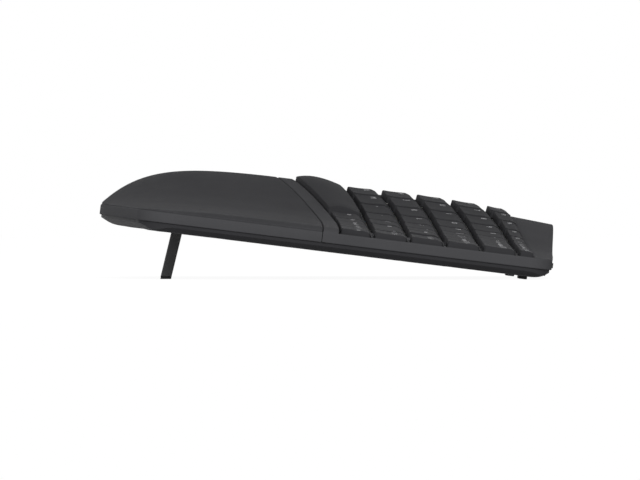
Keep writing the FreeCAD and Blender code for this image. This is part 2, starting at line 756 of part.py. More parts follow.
def leg_block(side, shorten, lengthen):
    """The part of a leg between two cuts level with the floor, given above the floor."""
    lean = math.radians(LEG_LEAN)
    along = vec(0, -math.sin(lean), -math.cos(lean))
    across = vec(0, math.cos(lean), -math.sin(lean)) * (LEG_THICK / 2)
    axis = vec(side * LEG_X - LEG_WIDTH / 2, LEG_AXIS_Y, LEG_AXIS_Z)
    end = axis + along * (leg_length() + 10)
    corners = [axis - across, axis + across, end + across, end - across]
    bar = Part.Face(Part.makePolygon(corners + corners[:1])).extrude(vec(LEG_WIDTH, 0, 0))
    bar = bar.fuse(rod(axis, vec(1, 0, 0), LEG_THICK / 2, LEG_WIDTH)).removeSplitter()
    x0, x1 = side * LEG_X - LEG_WIDTH, side * LEG_X + LEG_WIDTH
    y0, y1 = LEG_AXIS_Y - 40, LEG_AXIS_Y + 40
    low = [vec(x0, y, floor_level(y) + shorten) for y in (y0, y1)]
    high = [vec(x0, y1, floor_level(y1) + lengthen), vec(x0, y0, floor_level(y0) + lengthen)]
    slab = Part.Face(Part.makePolygon(low + high + low[:1])).extrude(vec(x1 - x0, 0, 0))
    return bar.common(slab)


def leg_axis_start(side, margin):
    return vec(side * LEG_X - LEG_WIDTH / 2 - margin, LEG_AXIS_Y, LEG_AXIS_Z)


def front_leg(side):
    """A flat leg with a round hinge end, bored for its pin and cut level with the floor."""
    leg = leg_block(side, LEG_PAD, HIGH)
    bore = rod(leg_axis_start(side, 1), vec(1, 0, 0), LEG_PIN_RADIUS + LEG_PIN_CLEAR, LEG_WIDTH + 2)
    return leg.cut(bore)


def leg_pad(side):
    return leg_block(side, 0.0, LEG_PAD)


def pin_reach():
    return LEG_SIDE_GAP + 0.8 * POCKET_WALL


def leg_hinge_pins():
    length = LEG_WIDTH + 2 * pin_reach()
    return Part.makeCompound([rod(leg_axis_start(side, pin_reach()), vec(1, 0, 0), LEG_PIN_RADIUS, length)
                              for side in (-1, 1)])


def leg_pocket(side):
    """The recess that a folded leg lies in, and the walls round it."""
    half = LEG_WIDTH / 2 + LEG_SIDE_GAP
    x0, x1 = side * LEG_X - half, side * LEG_X + half
    lean_room = LEG_AXIS_Z * math.tan(math.radians(LEG_LEAN))
    y0 = LEG_AXIS_Y - LEG_THICK / 2 - POCKET_GAP - lean_room
    y1 = LEG_AXIS_Y + leg_length() + POCKET_END
    top = LEG_AXIS_Z + LEG_THICK / 2 + POCKET_GAP
    walls = box(x0 - POCKET_WALL, x1 + POCKET_WALL, y0 - FLOOR, y1 + FLOOR, FLOOR / 2, top + POCKET_CEILING)
    room = box(x0, x1, y0, y1, -1, top)
    pin = rod(leg_axis_start(side, pin_reach() + 0.1), vec(1, 0, 0),
              LEG_PIN_RADIUS + LEG_PIN_CLEAR, LEG_WIDTH + 2 * pin_reach() + 0.2)
    return walls, room.fuse(pin)


def rear_foot(side, height):
    x = side * FOOT_X
    return box(x - FOOT_WIDTH / 2, x + FOOT_WIDTH / 2, FOOT_Y - FOOT_DEPTH / 2,
               FOOT_Y + FOOT_DEPTH / 2, -FOOT_HEIGHT, height)


def rear_feet():
    return Part.makeCompound([rear_foot(side, FOOT_RECESS - 0.05) for side in (-1, 1)])


def bay_size():
    """Half length and half depth of the battery bay, and its height."""
    half_long = CELL_LENGTH / 2 + CONTACT_ROOM
    half_deep = CELL_PITCH / 2 + CELL_RADIUS + BAY_CLEAR
    return half_long, half_deep, cell_level() + CELL_RADIUS + BAY_CLEAR


def cell_level():
    return DOOR_THICK + DOOR_CLEAR + BAY_CLEAR + CELL_RADIUS


def centred_box(margin, z0, z1):
    half_long, half_deep, _ = bay_size()
    return box(CELL_X - half_long - margin, CELL_X + half_long + margin,
               CELL_Y - half_deep - margin, CELL_Y + half_deep + margin, z0, z1)


def battery_bay():
    """The walls round the cells, and the room inside with the wider seat for the door."""
    top = bay_size()[2]
    walls = centred_box(DOOR_LIP + BAY_WALL, FLOOR / 2, top + BAY_WALL)
    return walls, centred_box(0, -1, top).fuse(centred_box(DOOR_LIP, -1, DOOR_THICK + DOOR_CLEAR))


def battery_door():
    """A flush door with three finger ridges cut into it."""
    door = centred_box(DOOR_LIP - DOOR_CLEAR, 0, DOOR_THICK)
    half_deep = bay_size()[1]
    for step in (0, 1, 2):
        y = CELL_Y + half_deep - 3 - 2.0 * step
        door = door.cut(rod(vec(CELL_X - 7, y, 0), vec(1, 0, 0), 0.5, 14))
    return door


def battery_cells():
    """Two cells side by side, turned opposite ways, each with its small raised contact."""
    cells = []
    for turn in (-1, 1):
        start = vec(CELL_X - turn * CELL_LENGTH / 2, CELL_Y + turn * CELL_PITCH / 2, cell_level())
        can = rod(start, vec(turn, 0, 0), CELL_RADIUS, CELL_LENGTH - CELL_NIB)
        cells.append(can.fuse(rod(start, vec(turn, 0, 0), CELL_RADIUS / 3, CELL_LENGTH)))
    return Part.makeCompound(cells)


def battery_contacts():
    """A plate at each end of the bay, with a domed contact facing each cell."""
    half_long = bay_size()[0]
    plates = []
    for side in (-1, 1):
        x = CELL_X + side * half_long
        face = x - side * (CONTACT + 0.1)
        plate = box(min(x - side * 0.1, face), max(x - side * 0.1, face), CELL_Y - CELL_PITCH / 2 - 4,
                    CELL_Y + CELL_PITCH / 2 + 4, cell_level() - 4, cell_level() + 4)
        reach = CONTACT_ROOM - CONTACT - 0.3
        cones = [Part.makeCone(3.0, 1.2, reach, vec(face, CELL_Y + row * CELL_PITCH / 2, cell_level()),
                               vec(-side, 0, 0)) for row in (-1, 1)]
        plates.append(plate.fuse(cones))
    return Part.makeCompound(plates)


def board_corners():
    x, y = BOARD_LONG / 2 - BOARD_POST_RADIUS - 1, BOARD_DEEP / 2 - BOARD_POST_RADIUS - 1
    return [vec(BOARD_X + a * x, BOARD_Y + b * y) for a in (-1, 1) for b in (-1, 1)]


def board_level():
    return FLOOR + BOARD_POST


def controller_board():
    return box(BOARD_X - BOARD_LONG / 2, BOARD_X + BOARD_LONG / 2, BOARD_Y - BOARD_DEEP / 2,
               BOARD_Y + BOARD_DEEP / 2, board_level(), board_level() + BOARD_THICK)


def board_components():
    """Controller chip, radio module with its can, crystal, connector and small capacitors."""
    top = board_level() + BOARD_THICK
    sizes = [(-14, 2, 9, 9, 1.0), (10, 4, 14, 11, 1.6), (-2, -8, 5, 2.4, 0.9), (20, -10, 14, 4, 1.5)]
    parts = [(BOARD_X + x, BOARD_Y + y, long, deep, high) for x, y, long, deep, high in sizes]
    parts += [(BOARD_X - 24 + 4 * i, BOARD_Y - 11, 1.6, 0.9, 0.7) for i in range(5)]
    return Part.makeCompound([box(x - a / 2, x + a / 2, y - b / 2, y + b / 2, top, top + h)
                              for x, y, a, b, h in parts])


def switch_window():
    y = rear_edge(SWITCH_X)
    return box(SWITCH_X - SWITCH_LONG / 2, SWITCH_X + SWITCH_LONG / 2, y - WALL - 1, y + 2,
               SWITCH_Z - SWITCH_HIGH / 2, SWITCH_Z + SWITCH_HIGH / 2)


def power_switch_knob():
    """A small slider with grip grooves, at the left end of its window."""
    y = rear_edge(SWITCH_X)
    x = SWITCH_X - (SWITCH_KNOB + SWITCH_TRAVEL) / 2
    half = SWITCH_HIGH / 2 - SWITCH_CLEAR
    knob = box(x, x + SWITCH_KNOB, y - WALL, y + SWITCH_PROUD, SWITCH_Z - half, SWITCH_Z + half)
    for groove in (1, 2, 3):
        edge = x + SWITCH_KNOB * groove / 4
        knob = knob.cut(box(edge - 0.25, edge + 0.25, y + SWITCH_PROUD - 0.3, y + 2, 0, HIGH))
    return knob


def power_switch_body():
    y = rear_edge(SWITCH_X) - WALL - SWITCH_CLEAR
    return box(SWITCH_X - SWITCH_LONG / 2 - 1, SWITCH_X + SWITCH_LONG / 2 + 1, y - SWITCH_DEEP, y,
               RIM_LOW + 0.1, SWITCH_Z + SWITCH_HIGH / 2 - 0.2)


def base_cover(outline):
    """The base tray: a thin floor that rises to its edges, leg pockets, battery bay and bosses."""
    face = base_face()
    block = plan_block(outline, BASE_INSET, -1, RIM_LOW).common(over(face))
    room = plan_block(outline, CAVITY_WALL, 0, HIGH).common(over(lowered(face, -FLOOR)))
    body = block.cut(room)
    added, cuts = [], []
    for walls, inside in (leg_pocket(-1), leg_pocket(1), battery_bay()):
        added.append(walls)
        cuts.append(inside)
    for corner in board_corners():
        start = vec(corner.x, corner.y, FLOOR / 2)
        added.append(rod(start, vec(0, 0, 1), BOARD_POST_RADIUS, board_level() - FLOOR / 2 - 0.02))
    for x, y in rear_screws() + front_screws():
        neck, boss = screw_levels(x, y)[1:]
        start = base_level(x, y) + FLOOR / 2
        added.append(rod(vec(x, y, start), vec(0, 0, 1), SCREW_HEAD_RADIUS + 1.4, boss - start))
        cuts.append(rod(vec(x, y, -1), vec(0, 0, 1), SCREW_HEAD_RADIUS + SCREW_CLEAR, neck + 1.02))
        cuts.append(rod(vec(x, y, -1), vec(0, 0, 1), SCREW_RADIUS + SCREW_CLEAR, HIGH / 2))
    for side in (-1, 1):
        x = side * FOOT_X
        cuts.append(box(x - FOOT_WIDTH / 2 - 0.1, x + FOOT_WIDTH / 2 + 0.1, FOOT_Y - FOOT_DEPTH / 2 - 0.1,
                        FOOT_Y + FOOT_DEPTH / 2 + 0.1, -1, FOOT_RECESS))
    return body.fuse(added).cut(Part.makeCompound(cuts))


def build():
    """All nodes in the keyboard's own frame."""
    outline = plan_outline()
    high_face = pad_face()
    face = frame_face()
    tray, foam, skin = palm_rest(outline, high_face)
    nodes = {"base_cover": base_cover(outline),
             "key_frame": key_frame(outline, high_face, face),
             "palm_rest_tray": tray, "palm_rest_foam": foam, "palm_rest_skin": skin,
             "key_guide_plate": key_guide_plate(face),
             "key_guide_bushes": key_guide_bushes(),
             "rubber_domes": rubber_domes(),
             "membrane_sheet": key_layer(face, MEMBRANE_DEPTH, MEMBRANE_THICK),
             "steel_backplate": key_layer(face, MEMBRANE_DEPTH + MEMBRANE_THICK + LAYER_GAP, PLATE_THICK),
             "controller_board": controller_board(), "board_components": board_components(),
             "battery_door": battery_door(), "battery_cells": battery_cells(),
             "battery_contacts": battery_contacts(),
             "power_switch_knob": power_switch_knob(), "power_switch_body": power_switch_body(),
             "front_leg_left": front_leg(-1), "front_leg_right": front_leg(1),
             "leg_pad_left": leg_pad(-1), "leg_pad_right": leg_pad(1),
             "leg_hinge_pins": leg_hinge_pins(), "rear_feet": rear_feet(), "case_screws": case_screws()}
    nodes.update(key_nodes())
    return nodes


def standing_placement(nodes):
    """Tilts the part onto its legs, with the origin below its middle, on the floor."""
    tilt = Placement(vec(0, 0), Rotation(vec(1, 0, 0), -TILT))
    box_all = FreeCAD.BoundBox()
    for shape in nodes.values():
        copy = shape.copy()
        copy.Placement = tilt.multiply(copy.Placement)
        box_all.add(copy.optimalBoundingBox(False, False))
    shift = vec(-box_all.Center.x, -box_all.Center.y, -box_all.ZMin)
    return Placement(shift, Rotation()).multiply(tilt)


def main():
    os.makedirs("parts", exist_ok=True)
    nodes = build()
    stand = standing_placement(nodes)
    for name, shape in nodes.items():
        shape.Placement = stand.multiply(shape.Placement)
        shape.exportStep("parts/" + name + ".step")
    print("origin at", stand.Base, "in the keyboard's frame; nodes:", len(nodes))


main()
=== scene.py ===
import json
import math

import bpy
import numpy as np
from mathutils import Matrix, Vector

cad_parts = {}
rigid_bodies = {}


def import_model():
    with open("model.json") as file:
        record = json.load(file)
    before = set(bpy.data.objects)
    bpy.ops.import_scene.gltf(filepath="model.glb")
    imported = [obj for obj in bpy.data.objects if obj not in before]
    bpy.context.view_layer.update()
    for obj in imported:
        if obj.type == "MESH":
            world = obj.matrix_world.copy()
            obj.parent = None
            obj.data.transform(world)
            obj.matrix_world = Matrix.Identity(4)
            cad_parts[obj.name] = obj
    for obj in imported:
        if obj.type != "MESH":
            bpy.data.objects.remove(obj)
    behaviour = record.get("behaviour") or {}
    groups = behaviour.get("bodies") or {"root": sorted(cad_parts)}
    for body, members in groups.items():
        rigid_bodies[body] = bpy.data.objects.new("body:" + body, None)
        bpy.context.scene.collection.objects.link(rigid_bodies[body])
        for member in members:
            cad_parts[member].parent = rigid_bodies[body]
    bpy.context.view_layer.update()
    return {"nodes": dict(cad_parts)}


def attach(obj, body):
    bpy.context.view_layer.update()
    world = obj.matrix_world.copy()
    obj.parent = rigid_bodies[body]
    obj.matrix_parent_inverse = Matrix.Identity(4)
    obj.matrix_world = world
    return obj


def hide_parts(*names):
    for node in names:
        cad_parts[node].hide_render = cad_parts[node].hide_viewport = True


# A split, curved keyboard that stands on two tall legs under its palm rest, seen from its right side.
# Pieces are worked out in mm in the keyboard's own frame: x to the right, y to the rear, z up.
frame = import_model()
nodes = frame["nodes"]


# The studio: a pale desk that runs up into a white surround, with large soft lamps.
# The camera looks at the right side from about ten metres, a hand's width above the desk.
def linear(code):
    """An sRGB hex colour as linear red, green, blue and alpha."""
    parts = [int(code[i:i + 2], 16) / 255 for i in (1, 3, 5)]
    return tuple(c / 12.92 if c <= 0.04045 else ((c + 0.055) / 1.055) ** 2.4 for c in parts) + (1.0,)


def add(tree, kind, settings=(), links=()):
    """Adds a node; each setting goes to its property or its socket, each link joins an input."""
    node = tree.nodes.new(kind)
    for key, value in dict(settings).items():
        if isinstance(key, str) and hasattr(node, key):
            setattr(node, key, value)
        else:
            node.inputs[key].default_value = value
    for key, source in dict(links).items():
        tree.links.new(source, node.inputs[key])
    return node


def white_to_the_eye(tree):
    """1 for rays from the camera, a mirror or glass, and 0 for light on the object."""
    path = add(tree, "ShaderNodeLightPath")
    seen = path.outputs["Is Camera Ray"]
    for name in ("Is Glossy Ray", "Is Transmission Ray"):
        more = add(tree, "ShaderNodeMath", {"operation": "MAXIMUM"}, {0: seen, 1: path.outputs[name]})
        seen = more.outputs[0]
    return seen


surround = bpy.data.worlds.new("white_surround")
bpy.context.scene.world = surround
surround.use_nodes = True
tree = surround.node_tree
tree.nodes.clear()
strength = add(tree, "ShaderNodeMapRange", {"To Min": 0.38, "To Max": 1.0}, {"Value": white_to_the_eye(tree)})
sky = add(tree, "ShaderNodeBackground", {"Color": (1, 1, 1, 1)}, {"Strength": strength.outputs[0]})
add(tree, "ShaderNodeOutputWorld", links={"Surface": sky.outputs[0]})

desk_size, desk_level = 9.0, -0.0001
desk_mesh = bpy.data.meshes.new("desk")
desk_corners = [(x * desk_size, y * desk_size, desk_level) for x, y in ((-1, -1), (1, -1), (1, 1), (-1, 1))]
desk_mesh.from_pydata(desk_corners, [], [(0, 1, 2, 3)])
desk = bpy.data.objects.new("desk", desk_mesh)
bpy.context.scene.collection.objects.link(desk)

desk_paint = bpy.data.materials.new("pale_desk_paint")
desk_paint.use_nodes = True
tree = desk_paint.node_tree
tree.nodes.clear()
pale = add(tree, "ShaderNodeBsdfDiffuse", {"Color": linear("#d8d8d8")})
shadow = add(tree, "ShaderNodeBsdfDiffuse", {"Color": linear("#707070")})
glow = add(tree, "ShaderNodeEmission", {"Color": (1, 1, 1, 1), "Strength": 0.94})
lit = add(tree, "ShaderNodeAddShader", links={0: shadow.outputs[0], 1: glow.outputs[0]})
desk_look = add(tree, "ShaderNodeMixShader",
                links={0: white_to_the_eye(tree), 1: pale.outputs[0], 2: lit.outputs[0]})
add(tree, "ShaderNodeOutputMaterial", links={"Surface": desk_look.outputs[0]})
desk_mesh.materials.append(desk_paint)


def soft_lamp(name, place, wide, high, power):
    """A rectangular soft lamp at place that faces the middle of the keyboard."""
    lamp = bpy.data.lights.new(name, "AREA")
    lamp.shape, lamp.size, lamp.size_y, lamp.energy = "RECTANGLE", wide, high, power
    holder = bpy.data.objects.new(name, lamp)
    holder.location = place
    holder.rotation_euler = (Vector((0, 0, 0.03)) - Vector(place)).to_track_quat("-Z", "Y").to_euler()
    bpy.context.scene.collection.objects.link(holder)


soft_lamp("lamp_overhead", (-0.7, 0.1, 1.6), 1.6, 1.4, 2.0)
soft_lamp("lamp_front", (1.2, -1.6, 0.5), 0.9, 0.6, 6.0)
soft_lamp("lamp_rear", (0.4, 1.7, 0.6), 1.4, 0.8, 1.5)
soft_lamp("lamp_right", (1.9, 0.1, 0.8), 1.4, 0.9, 24.0)

camera = bpy.data.cameras.new("side_camera")
camera.sensor_width, camera.lens = 36.0, 1144.0
camera.clip_end = 60.0
side_camera = bpy.data.objects.new("side_camera", camera)
side_camera.location = (10.454, -0.0827, 0.044)
aim = Vector((0.228, -0.0056, 0.0200))
side_camera.rotation_euler = (aim - side_camera.location).to_track_quat("-Z", "Y").to_euler()
bpy.context.scene.collection.objects.link(side_camera)
bpy.context.scene.camera = side_camera
bpy.context.scene.view_settings.view_transform = "Standard"


# Base tray: one large injection moulding in black ABS, with a spark-eroded grain all over.
# The grain keeps it from showing scratches and gives a dry, even sheen.
def fresh_look(name, **sockets):
    """A new material with values on its shader's sockets; gives its tree, shader and place on the object."""
    look = bpy.data.materials.new(name)
    look.use_nodes = True
    tree = look.node_tree
    shader = tree.nodes["Principled BSDF"]
    for socket, value in sockets.items():
        shader.inputs[socket.replace("_", " ")].default_value = value
    return look, tree, shader, add(tree, "ShaderNodeTexCoord").outputs["Object"]


def scaled(colour, share):
    """A linear colour made darker or lighter by a share."""
    return tuple(part * share for part in colour[:3]) + (1.0,)


def finish_look(tree, shader, low, high, tone, dry=None, relief=None):
    """Joins a tone between two colours, and roughness and relief where they are given, to the shader."""
    mixed = add(tree, "ShaderNodeMix", {"data_type": "RGBA", 6: low, 7: high}, {0: tone})
    tree.links.new(mixed.outputs[2], shader.inputs["Base Color"])
    for source, socket in ((dry, "Roughness"), (relief, "Normal")):
        if source is not None:
            tree.links.new(source.outputs[0], shader.inputs[socket])


def moulded(name, colour, roughness, grain, depth, fleck=0.12, shine=0.5):
    """Moulded plastic: a fine grain of the given size and depth in mm, and faint changes of tone."""
    look, tree, shader, place = fresh_look(name, IOR=1.5, Specular_IOR_Level=shine)
    grains = add(tree, "ShaderNodeTexNoise", {"Scale": 1000 / grain, "Detail": 3.0, "Roughness": 0.6},
                 {"Vector": place}).outputs["Fac"]
    clouds = add(tree, "ShaderNodeTexNoise", {"Scale": 28.0, "Detail": 2.0}, {"Vector": place}).outputs["Fac"]
    dry = add(tree, "ShaderNodeMapRange", {"To Min": roughness - 0.06, "To Max": roughness + 0.06},
              {"Value": grains})
    relief = add(tree, "ShaderNodeBump", {"Strength": 1.0, "Distance": depth / 1000}, {"Height": grains})
    base = linear(colour)
    finish_look(tree, shader, scaled(base, 1 - fleck), scaled(base, 1 + fleck), clouds, dry, relief)
    return look


def finish_node(name, look):
    """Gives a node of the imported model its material."""
    for place in nodes[name].material_slots:
        place.material = look


base_abs = moulded("black_abs_spark_eroded", "#323234", 0.6, 0.45, 0.02, shine=0.02)
finish_node("base_cover", base_abs)
finish_node("battery_door", base_abs)


# Rear feet: moulded strips of matt black rubber, glued into shallow recesses in the base tray.
# Each leg ends in a thin pad of the same rubber.
tilt = math.radians(7.0)
stand_back, stand_up = 118.02792, 28.34015


def stand(points):
    """Points in mm in the keyboard's frame, turned by the tilt about x and shifted, in metres on the desk."""
    x, y, z = points[:, 0], points[:, 1], points[:, 2]
    back = y * math.cos(tilt) + z * math.sin(tilt) - stand_back
    up = z * math.cos(tilt) - y * math.sin(tilt) + stand_up
    return np.stack([x, back, up], 1) / 1000


def make_piece(name, points, quads, triangles=(), look=None, body="case", slot=None, replaces=(), crease=32):
    """A mesh from arrays of points in mm, quads and triangles that face outwards."""
    quads = np.asarray(quads, np.int32).reshape(-1, 4)
    triangles = np.asarray(triangles, np.int32).reshape(-1, 3)
    mesh = bpy.data.meshes.new(name)
    mesh.vertices.add(len(points))
    mesh.vertices.foreach_set("co", stand(points).astype(np.float32).ravel())
    mesh.loops.add(quads.size + triangles.size)
    mesh.loops.foreach_set("vertex_index", np.concatenate([quads.ravel(), triangles.ravel()]))
    mesh.polygons.add(len(quads) + len(triangles))
    starts = np.concatenate([np.arange(len(quads)) * 4, quads.size + np.arange(len(triangles)) * 3])
    mesh.polygons.foreach_set("loop_start", starts.astype(np.int32))
    mesh.polygons.foreach_set("use_smooth", np.ones(len(starts), bool))
    mesh.update(calc_edges=True)
    mesh.set_sharp_from_angle(angle=math.radians(crease))
    piece = bpy.data.objects.new(name, mesh)
    bpy.context.scene.collection.objects.link(piece)
    mesh.materials.append(look)
    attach(piece, body)
    if replaces:
        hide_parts(*replaces)
    return piece


def tube_faces(count, around, inside_out=False):
    """Quads between rings of points, and fans that close the ends round two points after the rings."""
    i, j = np.meshgrid(np.arange(count - 1), np.arange(around), indexing="ij")
    a, b = i * around + j, i * around + (j + 1) % around
    quads = np.stack([a, a + around, b + around, b], -1).reshape(-1, 4)
    j, last = np.arange(around), (count - 1) * around
    k = np.roll(j, -1)
    fans = np.concatenate([np.stack([j, k, np.full(around, count * around)], 1),
                           np.stack([last + k, last + j, np.full(around, count * around + 1)], 1)])
    return (quads[:, [0, 3, 2, 1]], fans[:, [1, 0, 2]]) if inside_out else (quads, fans)


def joined(forms):
    """Points, quads and triangles of several forms as one mesh."""
    starts = np.cumsum([0] + [len(form[0]) for form in forms])
    return [np.concatenate([form[0] for form in forms])] + [
        np.concatenate([form[part] + start for form, start in zip(forms, starts)]) for part in (1, 2)]


def rubber(name, colour, roughness, grain):
    """Matt rubber: no clear highlight, a soft sheen, and a grain in mm that catches dust."""
    return moulded(name, colour, roughness, grain, 0.03, 0.2, 0.35)


black_rubber = rubber("black_rubber_matt", "#141414", 0.8, 0.5)


def slab_points(centre, half, radius, around=24, down=12):
    """A rounded slab: points of a sphere of the radius, pushed out to the slab's corners."""
    turn = (np.arange(around) + 0.5) / around * 2 * np.pi
    fall = (np.arange(down) + 0.5) / down * np.pi
    ball = np.stack([np.outer(np.sin(fall), np.cos(turn)), np.outer(np.sin(fall), np.sin(turn)),
                     np.outer(np.cos(fall), np.ones(around))], -1).reshape(-1, 3)
    poles = np.array([[0, 0, 1.0], [0, 0, -1.0]]) * half[2]
    shell = np.sign(ball) * (np.asarray(half) - radius) + ball * radius
    return np.asarray(centre) + np.concatenate([shell, poles])


foot_x, foot_y, foot_middle, foot_height = 188.0, 216.5, -0.625, 1.7
foot_half, foot_round = (17.0, 2.2, 1.075), 0.5
feet = [(slab_points((way * foot_x, foot_y, foot_middle), foot_half, foot_round), *tube_faces(12, 24))
        for way in (-1, 1)]
make_piece("rear_foot_strips", *joined(feet), look=black_rubber, slot="foot_rubber", replaces=["rear_feet"])


# Front legs: flat moulded bars that swing out of pockets in the base on a steel pin.
# Deployed, they lean forward a little and lift the front of the keyboard by seven degrees.
# Glass-filled nylon is a shade greyer than the case and keeps a low sheen.
leg_nylon = moulded("black_nylon_moulded", "#3c3c3d", 0.5, 0.6, 0.02, shine=0.3)
leg_x, leg_half, leg_radius, leg_axis = 125.0, 14.0, 2.65, (41.1, 2.75)
leg_lean, leg_pad = math.radians(6.6), 1.2


def leg_profile(inset, upper, lower):
    """Side outline of a leg, set in: a round hinge end or a cut, and a lower cut level with the desk."""
    radius = leg_radius - inset
    rise = math.tan(tilt)
    y, z = leg_axis

    def cut(way, above):
        """Where one leaning side of the bar meets a level line that lies this far above the desk."""
        reach = z + foot_height + (foot_y + foot_half[1] - y) * rise
        reach -= way * radius * (math.sin(leg_lean) + math.cos(leg_lean) * rise) + above
        reach /= math.cos(leg_lean) - math.sin(leg_lean) * rise
        return [y + way * radius * math.cos(leg_lean) - reach * math.sin(leg_lean),
                z - way * radius * math.sin(leg_lean) - reach * math.cos(leg_lean)]

    foot = [cut(-1, lower + inset), cut(1, lower + inset)]
    if upper is None:
        turn = np.linspace(0, np.pi, 25) - leg_lean
        head = np.stack([y + radius * np.cos(turn), z + radius * np.sin(turn)], 1)
    else:
        head = np.array([cut(1, upper - inset), cut(-1, upper - inset)])
    return np.concatenate([np.array(foot), head])


def leg_piece(name, way, upper, lower, edge, **facts):
    """A leg's outline carried along x between two rounded faces, each closed by a fan."""
    turns = np.linspace(0, math.pi / 2, 5)
    steps = [(-leg_half + edge * (1 - math.cos(a)), edge * (1 - math.sin(a))) for a in turns]
    steps += [(-x, s) for x, s in steps[::-1]]
    rings = []
    for x, s in steps:
        outline = leg_profile(s, upper, lower)
        rings.append(np.column_stack([np.full(len(outline), way * leg_x + x), outline]))
    ends = np.array([rings[0].mean(0), rings[-1].mean(0)])
    make_piece(name, np.concatenate(rings + [ends]), *tube_faces(len(rings), len(rings[0]), True), **facts)


for way, label in ((-1, "left"), (1, "right")):
    leg_piece("leg_bar_" + label, way, None, leg_pad, 0.5, look=leg_nylon, body="leg_" + label,
              slot="leg_plastic", replaces=["front_leg_" + label])
    leg_piece("leg_tip_" + label, way, leg_pad, 0.0, 0.25, look=black_rubber, body="leg_" + label,
              slot="foot_rubber", replaces=["leg_pad_" + label])


# Steel parts: hinge pins, black oxide screws, the zinc plated backplate and the nickel contacts.
# Rolled and plated metal shows fine drawn lines and a slightly uneven polish.
def metal(name, colour, roughness, stretch, line):
    """Metal: streaks of the given width in mm, stretched along one axis, in tone and roughness."""
    look, tree, shader, place = fresh_look(name, Metallic=1.0)
    drawn = add(tree, "ShaderNodeMapping", {"Scale": stretch}, {"Vector": place}).outputs[0]
    lines = add(tree, "ShaderNodeTexNoise", {"Scale": 1000 / line, "Detail": 4.0},
                {"Vector": drawn}).outputs["Fac"]
    polish = add(tree, "ShaderNodeMapRange", {"To Min": roughness - 0.1, "To Max": roughness + 0.1},
                 {"Value": lines})
    relief = add(tree, "ShaderNodeBump", {"Strength": 0.4, "Distance": 0.00001}, {"Height": lines})
    base = linear(colour)
    finish_look(tree, shader, scaled(base, 0.85), base, lines, polish, relief)
    return look


finish_node("leg_hinge_pins", metal("steel_ground_pin", "#8f8f8c", 0.3, (0.05, 1, 1), 0.2))
finish_node("case_screws", metal("steel_black_oxide", "#2c2c2e", 0.45, (1, 1, 1), 0.3))
finish_node("steel_backplate", metal("steel_zinc_plated", "#b4b8ba", 0.35, (0.04, 1, 1), 0.4))
finish_node("battery_contacts", metal("spring_steel_nickel", "#c2bfb6", 0.25, (1, 1, 0.1), 0.2))


# Works inside the case: the controller board with its parts, the two cells and the switch body.
# Green solder mask over glass cloth, black epoxy packages, and plain printed steel jackets.
finish_node("controller_board", moulded("solder_mask_on_glass_cloth", "#14532d", 0.3, 1.2, 0.01, 0.25))
finish_node("board_components", moulded("black_epoxy_package", "#1a1a1b", 0.6, 0.4, 0.02))
finish_node("battery_cells", moulded("printed_cell_jacket", "#5c5f63", 0.3, 2.0, 0.005, 0.2))
finish_node("power_switch_body", moulded("black_switch_nylon", "#101011", 0.6, 0.5, 0.02))
finish_node("power_switch_knob", moulded("black_switch_acetal", "#0c0c0c", 0.5, 0.5, 0.02))


# Layers under the keys: guide plate and bushes in natural acetal, clear silicone domes,
# and the contact membrane of three films with printed tracks.
# Both let a little light in, so that their edges look soft and milky.
acetal = moulded("natural_acetal_moulded", "#c9c8c0", 0.45, 0.8, 0.01, 0.05)
acetal.node_tree.nodes["Principled BSDF"].inputs["Subsurface Weight"].default_value = 0.1
finish_node("key_guide_plate", acetal)
finish_node("key_guide_bushes", acetal)
silicone = moulded("milky_silicone", "#d9d7cc", 0.55, 1.0, 0.01, 0.05)
silicone.node_tree.nodes["Principled BSDF"].inputs["Subsurface Weight"].default_value = 0.3
finish_node("rubber_domes", silicone)

# Clear film over silver ink: a smooth pale sheet with fine darker bands.
film, tree, shader, place = fresh_look("polyester_film_printed", Roughness=0.15, IOR=1.57)
tracks = add(tree, "ShaderNodeTexWave",
             {"wave_type": "BANDS", "bands_direction": "Y", "Scale": 75.0, "Distortion": 1.5, "Detail": 0.0,
              "Detail Scale": 0.4}, {"Vector": place}).outputs["Fac"]
silver = add(tree, "ShaderNodeMapRange", {"From Min": 0.78, "From Max": 0.84}, {"Value": tracks})
finish_look(tree, shader, linear("#c6cdd0"), linear("#6d7275"), silver.outputs[0])
finish_node("membrane_sheet", film)


# Key frame: the upper casing in satin black ABS. One moulding makes the rear part of the rim band,
# the raised strip in front of the space bars, the ribs between the rows and the deck behind them.
# A finely etched tool leaves a satin face, dark grey in the light, with hardly a highlight.
case_abs = moulded("black_abs_satin", "#464648", 0.65, 0.5, 0.012, shine=0.004)

# The plan outline: wide arcs in front and behind, straight sides and round corners. Every casing
# piece follows it, and every edge is rounded by its distance from it.
side, depth, split = 228.0, 233.9, -86.0
front_fall, rear_fall = (22.0, 12.0), (4.3, 3.0)
front_corner, rear_corner = 20.5, 11.0
rim_low, rim_top, wall = 4.4, 9.7, 2.0


def by_half(x, right, left):
    """The first value for places right of the split, the second for the rest."""
    return np.where(x > split, right, left)


def big_arc(x, fall):
    """Radius of the wide arc through a fall at the side: (run squared + fall squared) / (2 fall)."""
    run = by_half(x, side - split, side + split)
    rise = by_half(x, *fall)
    return (run ** 2 + rise ** 2) / (2 * rise)


def arc_line(x, fall):
    """How far the wide arc has fallen back at x: radius less the chord's height."""
    radius = big_arc(x, fall)
    return radius - np.sqrt(radius ** 2 - (x - split) ** 2)


def front_edge(x):
    """y of the front arc: how far it has fallen back."""
    return arc_line(x, front_fall)


def rear_edge(x):
    """y of the rear arc: the case's depth less the arc's fall."""
    return depth - arc_line(x, rear_fall)


def corner_centre(x, fall, corner):
    """How far back the centre of a corner's circle lies, which touches the side and the wide arc."""
    radius = big_arc(x, fall)
    return radius - np.sqrt((radius - corner) ** 2 - (np.sign(x) * (side - corner) - split) ** 2)


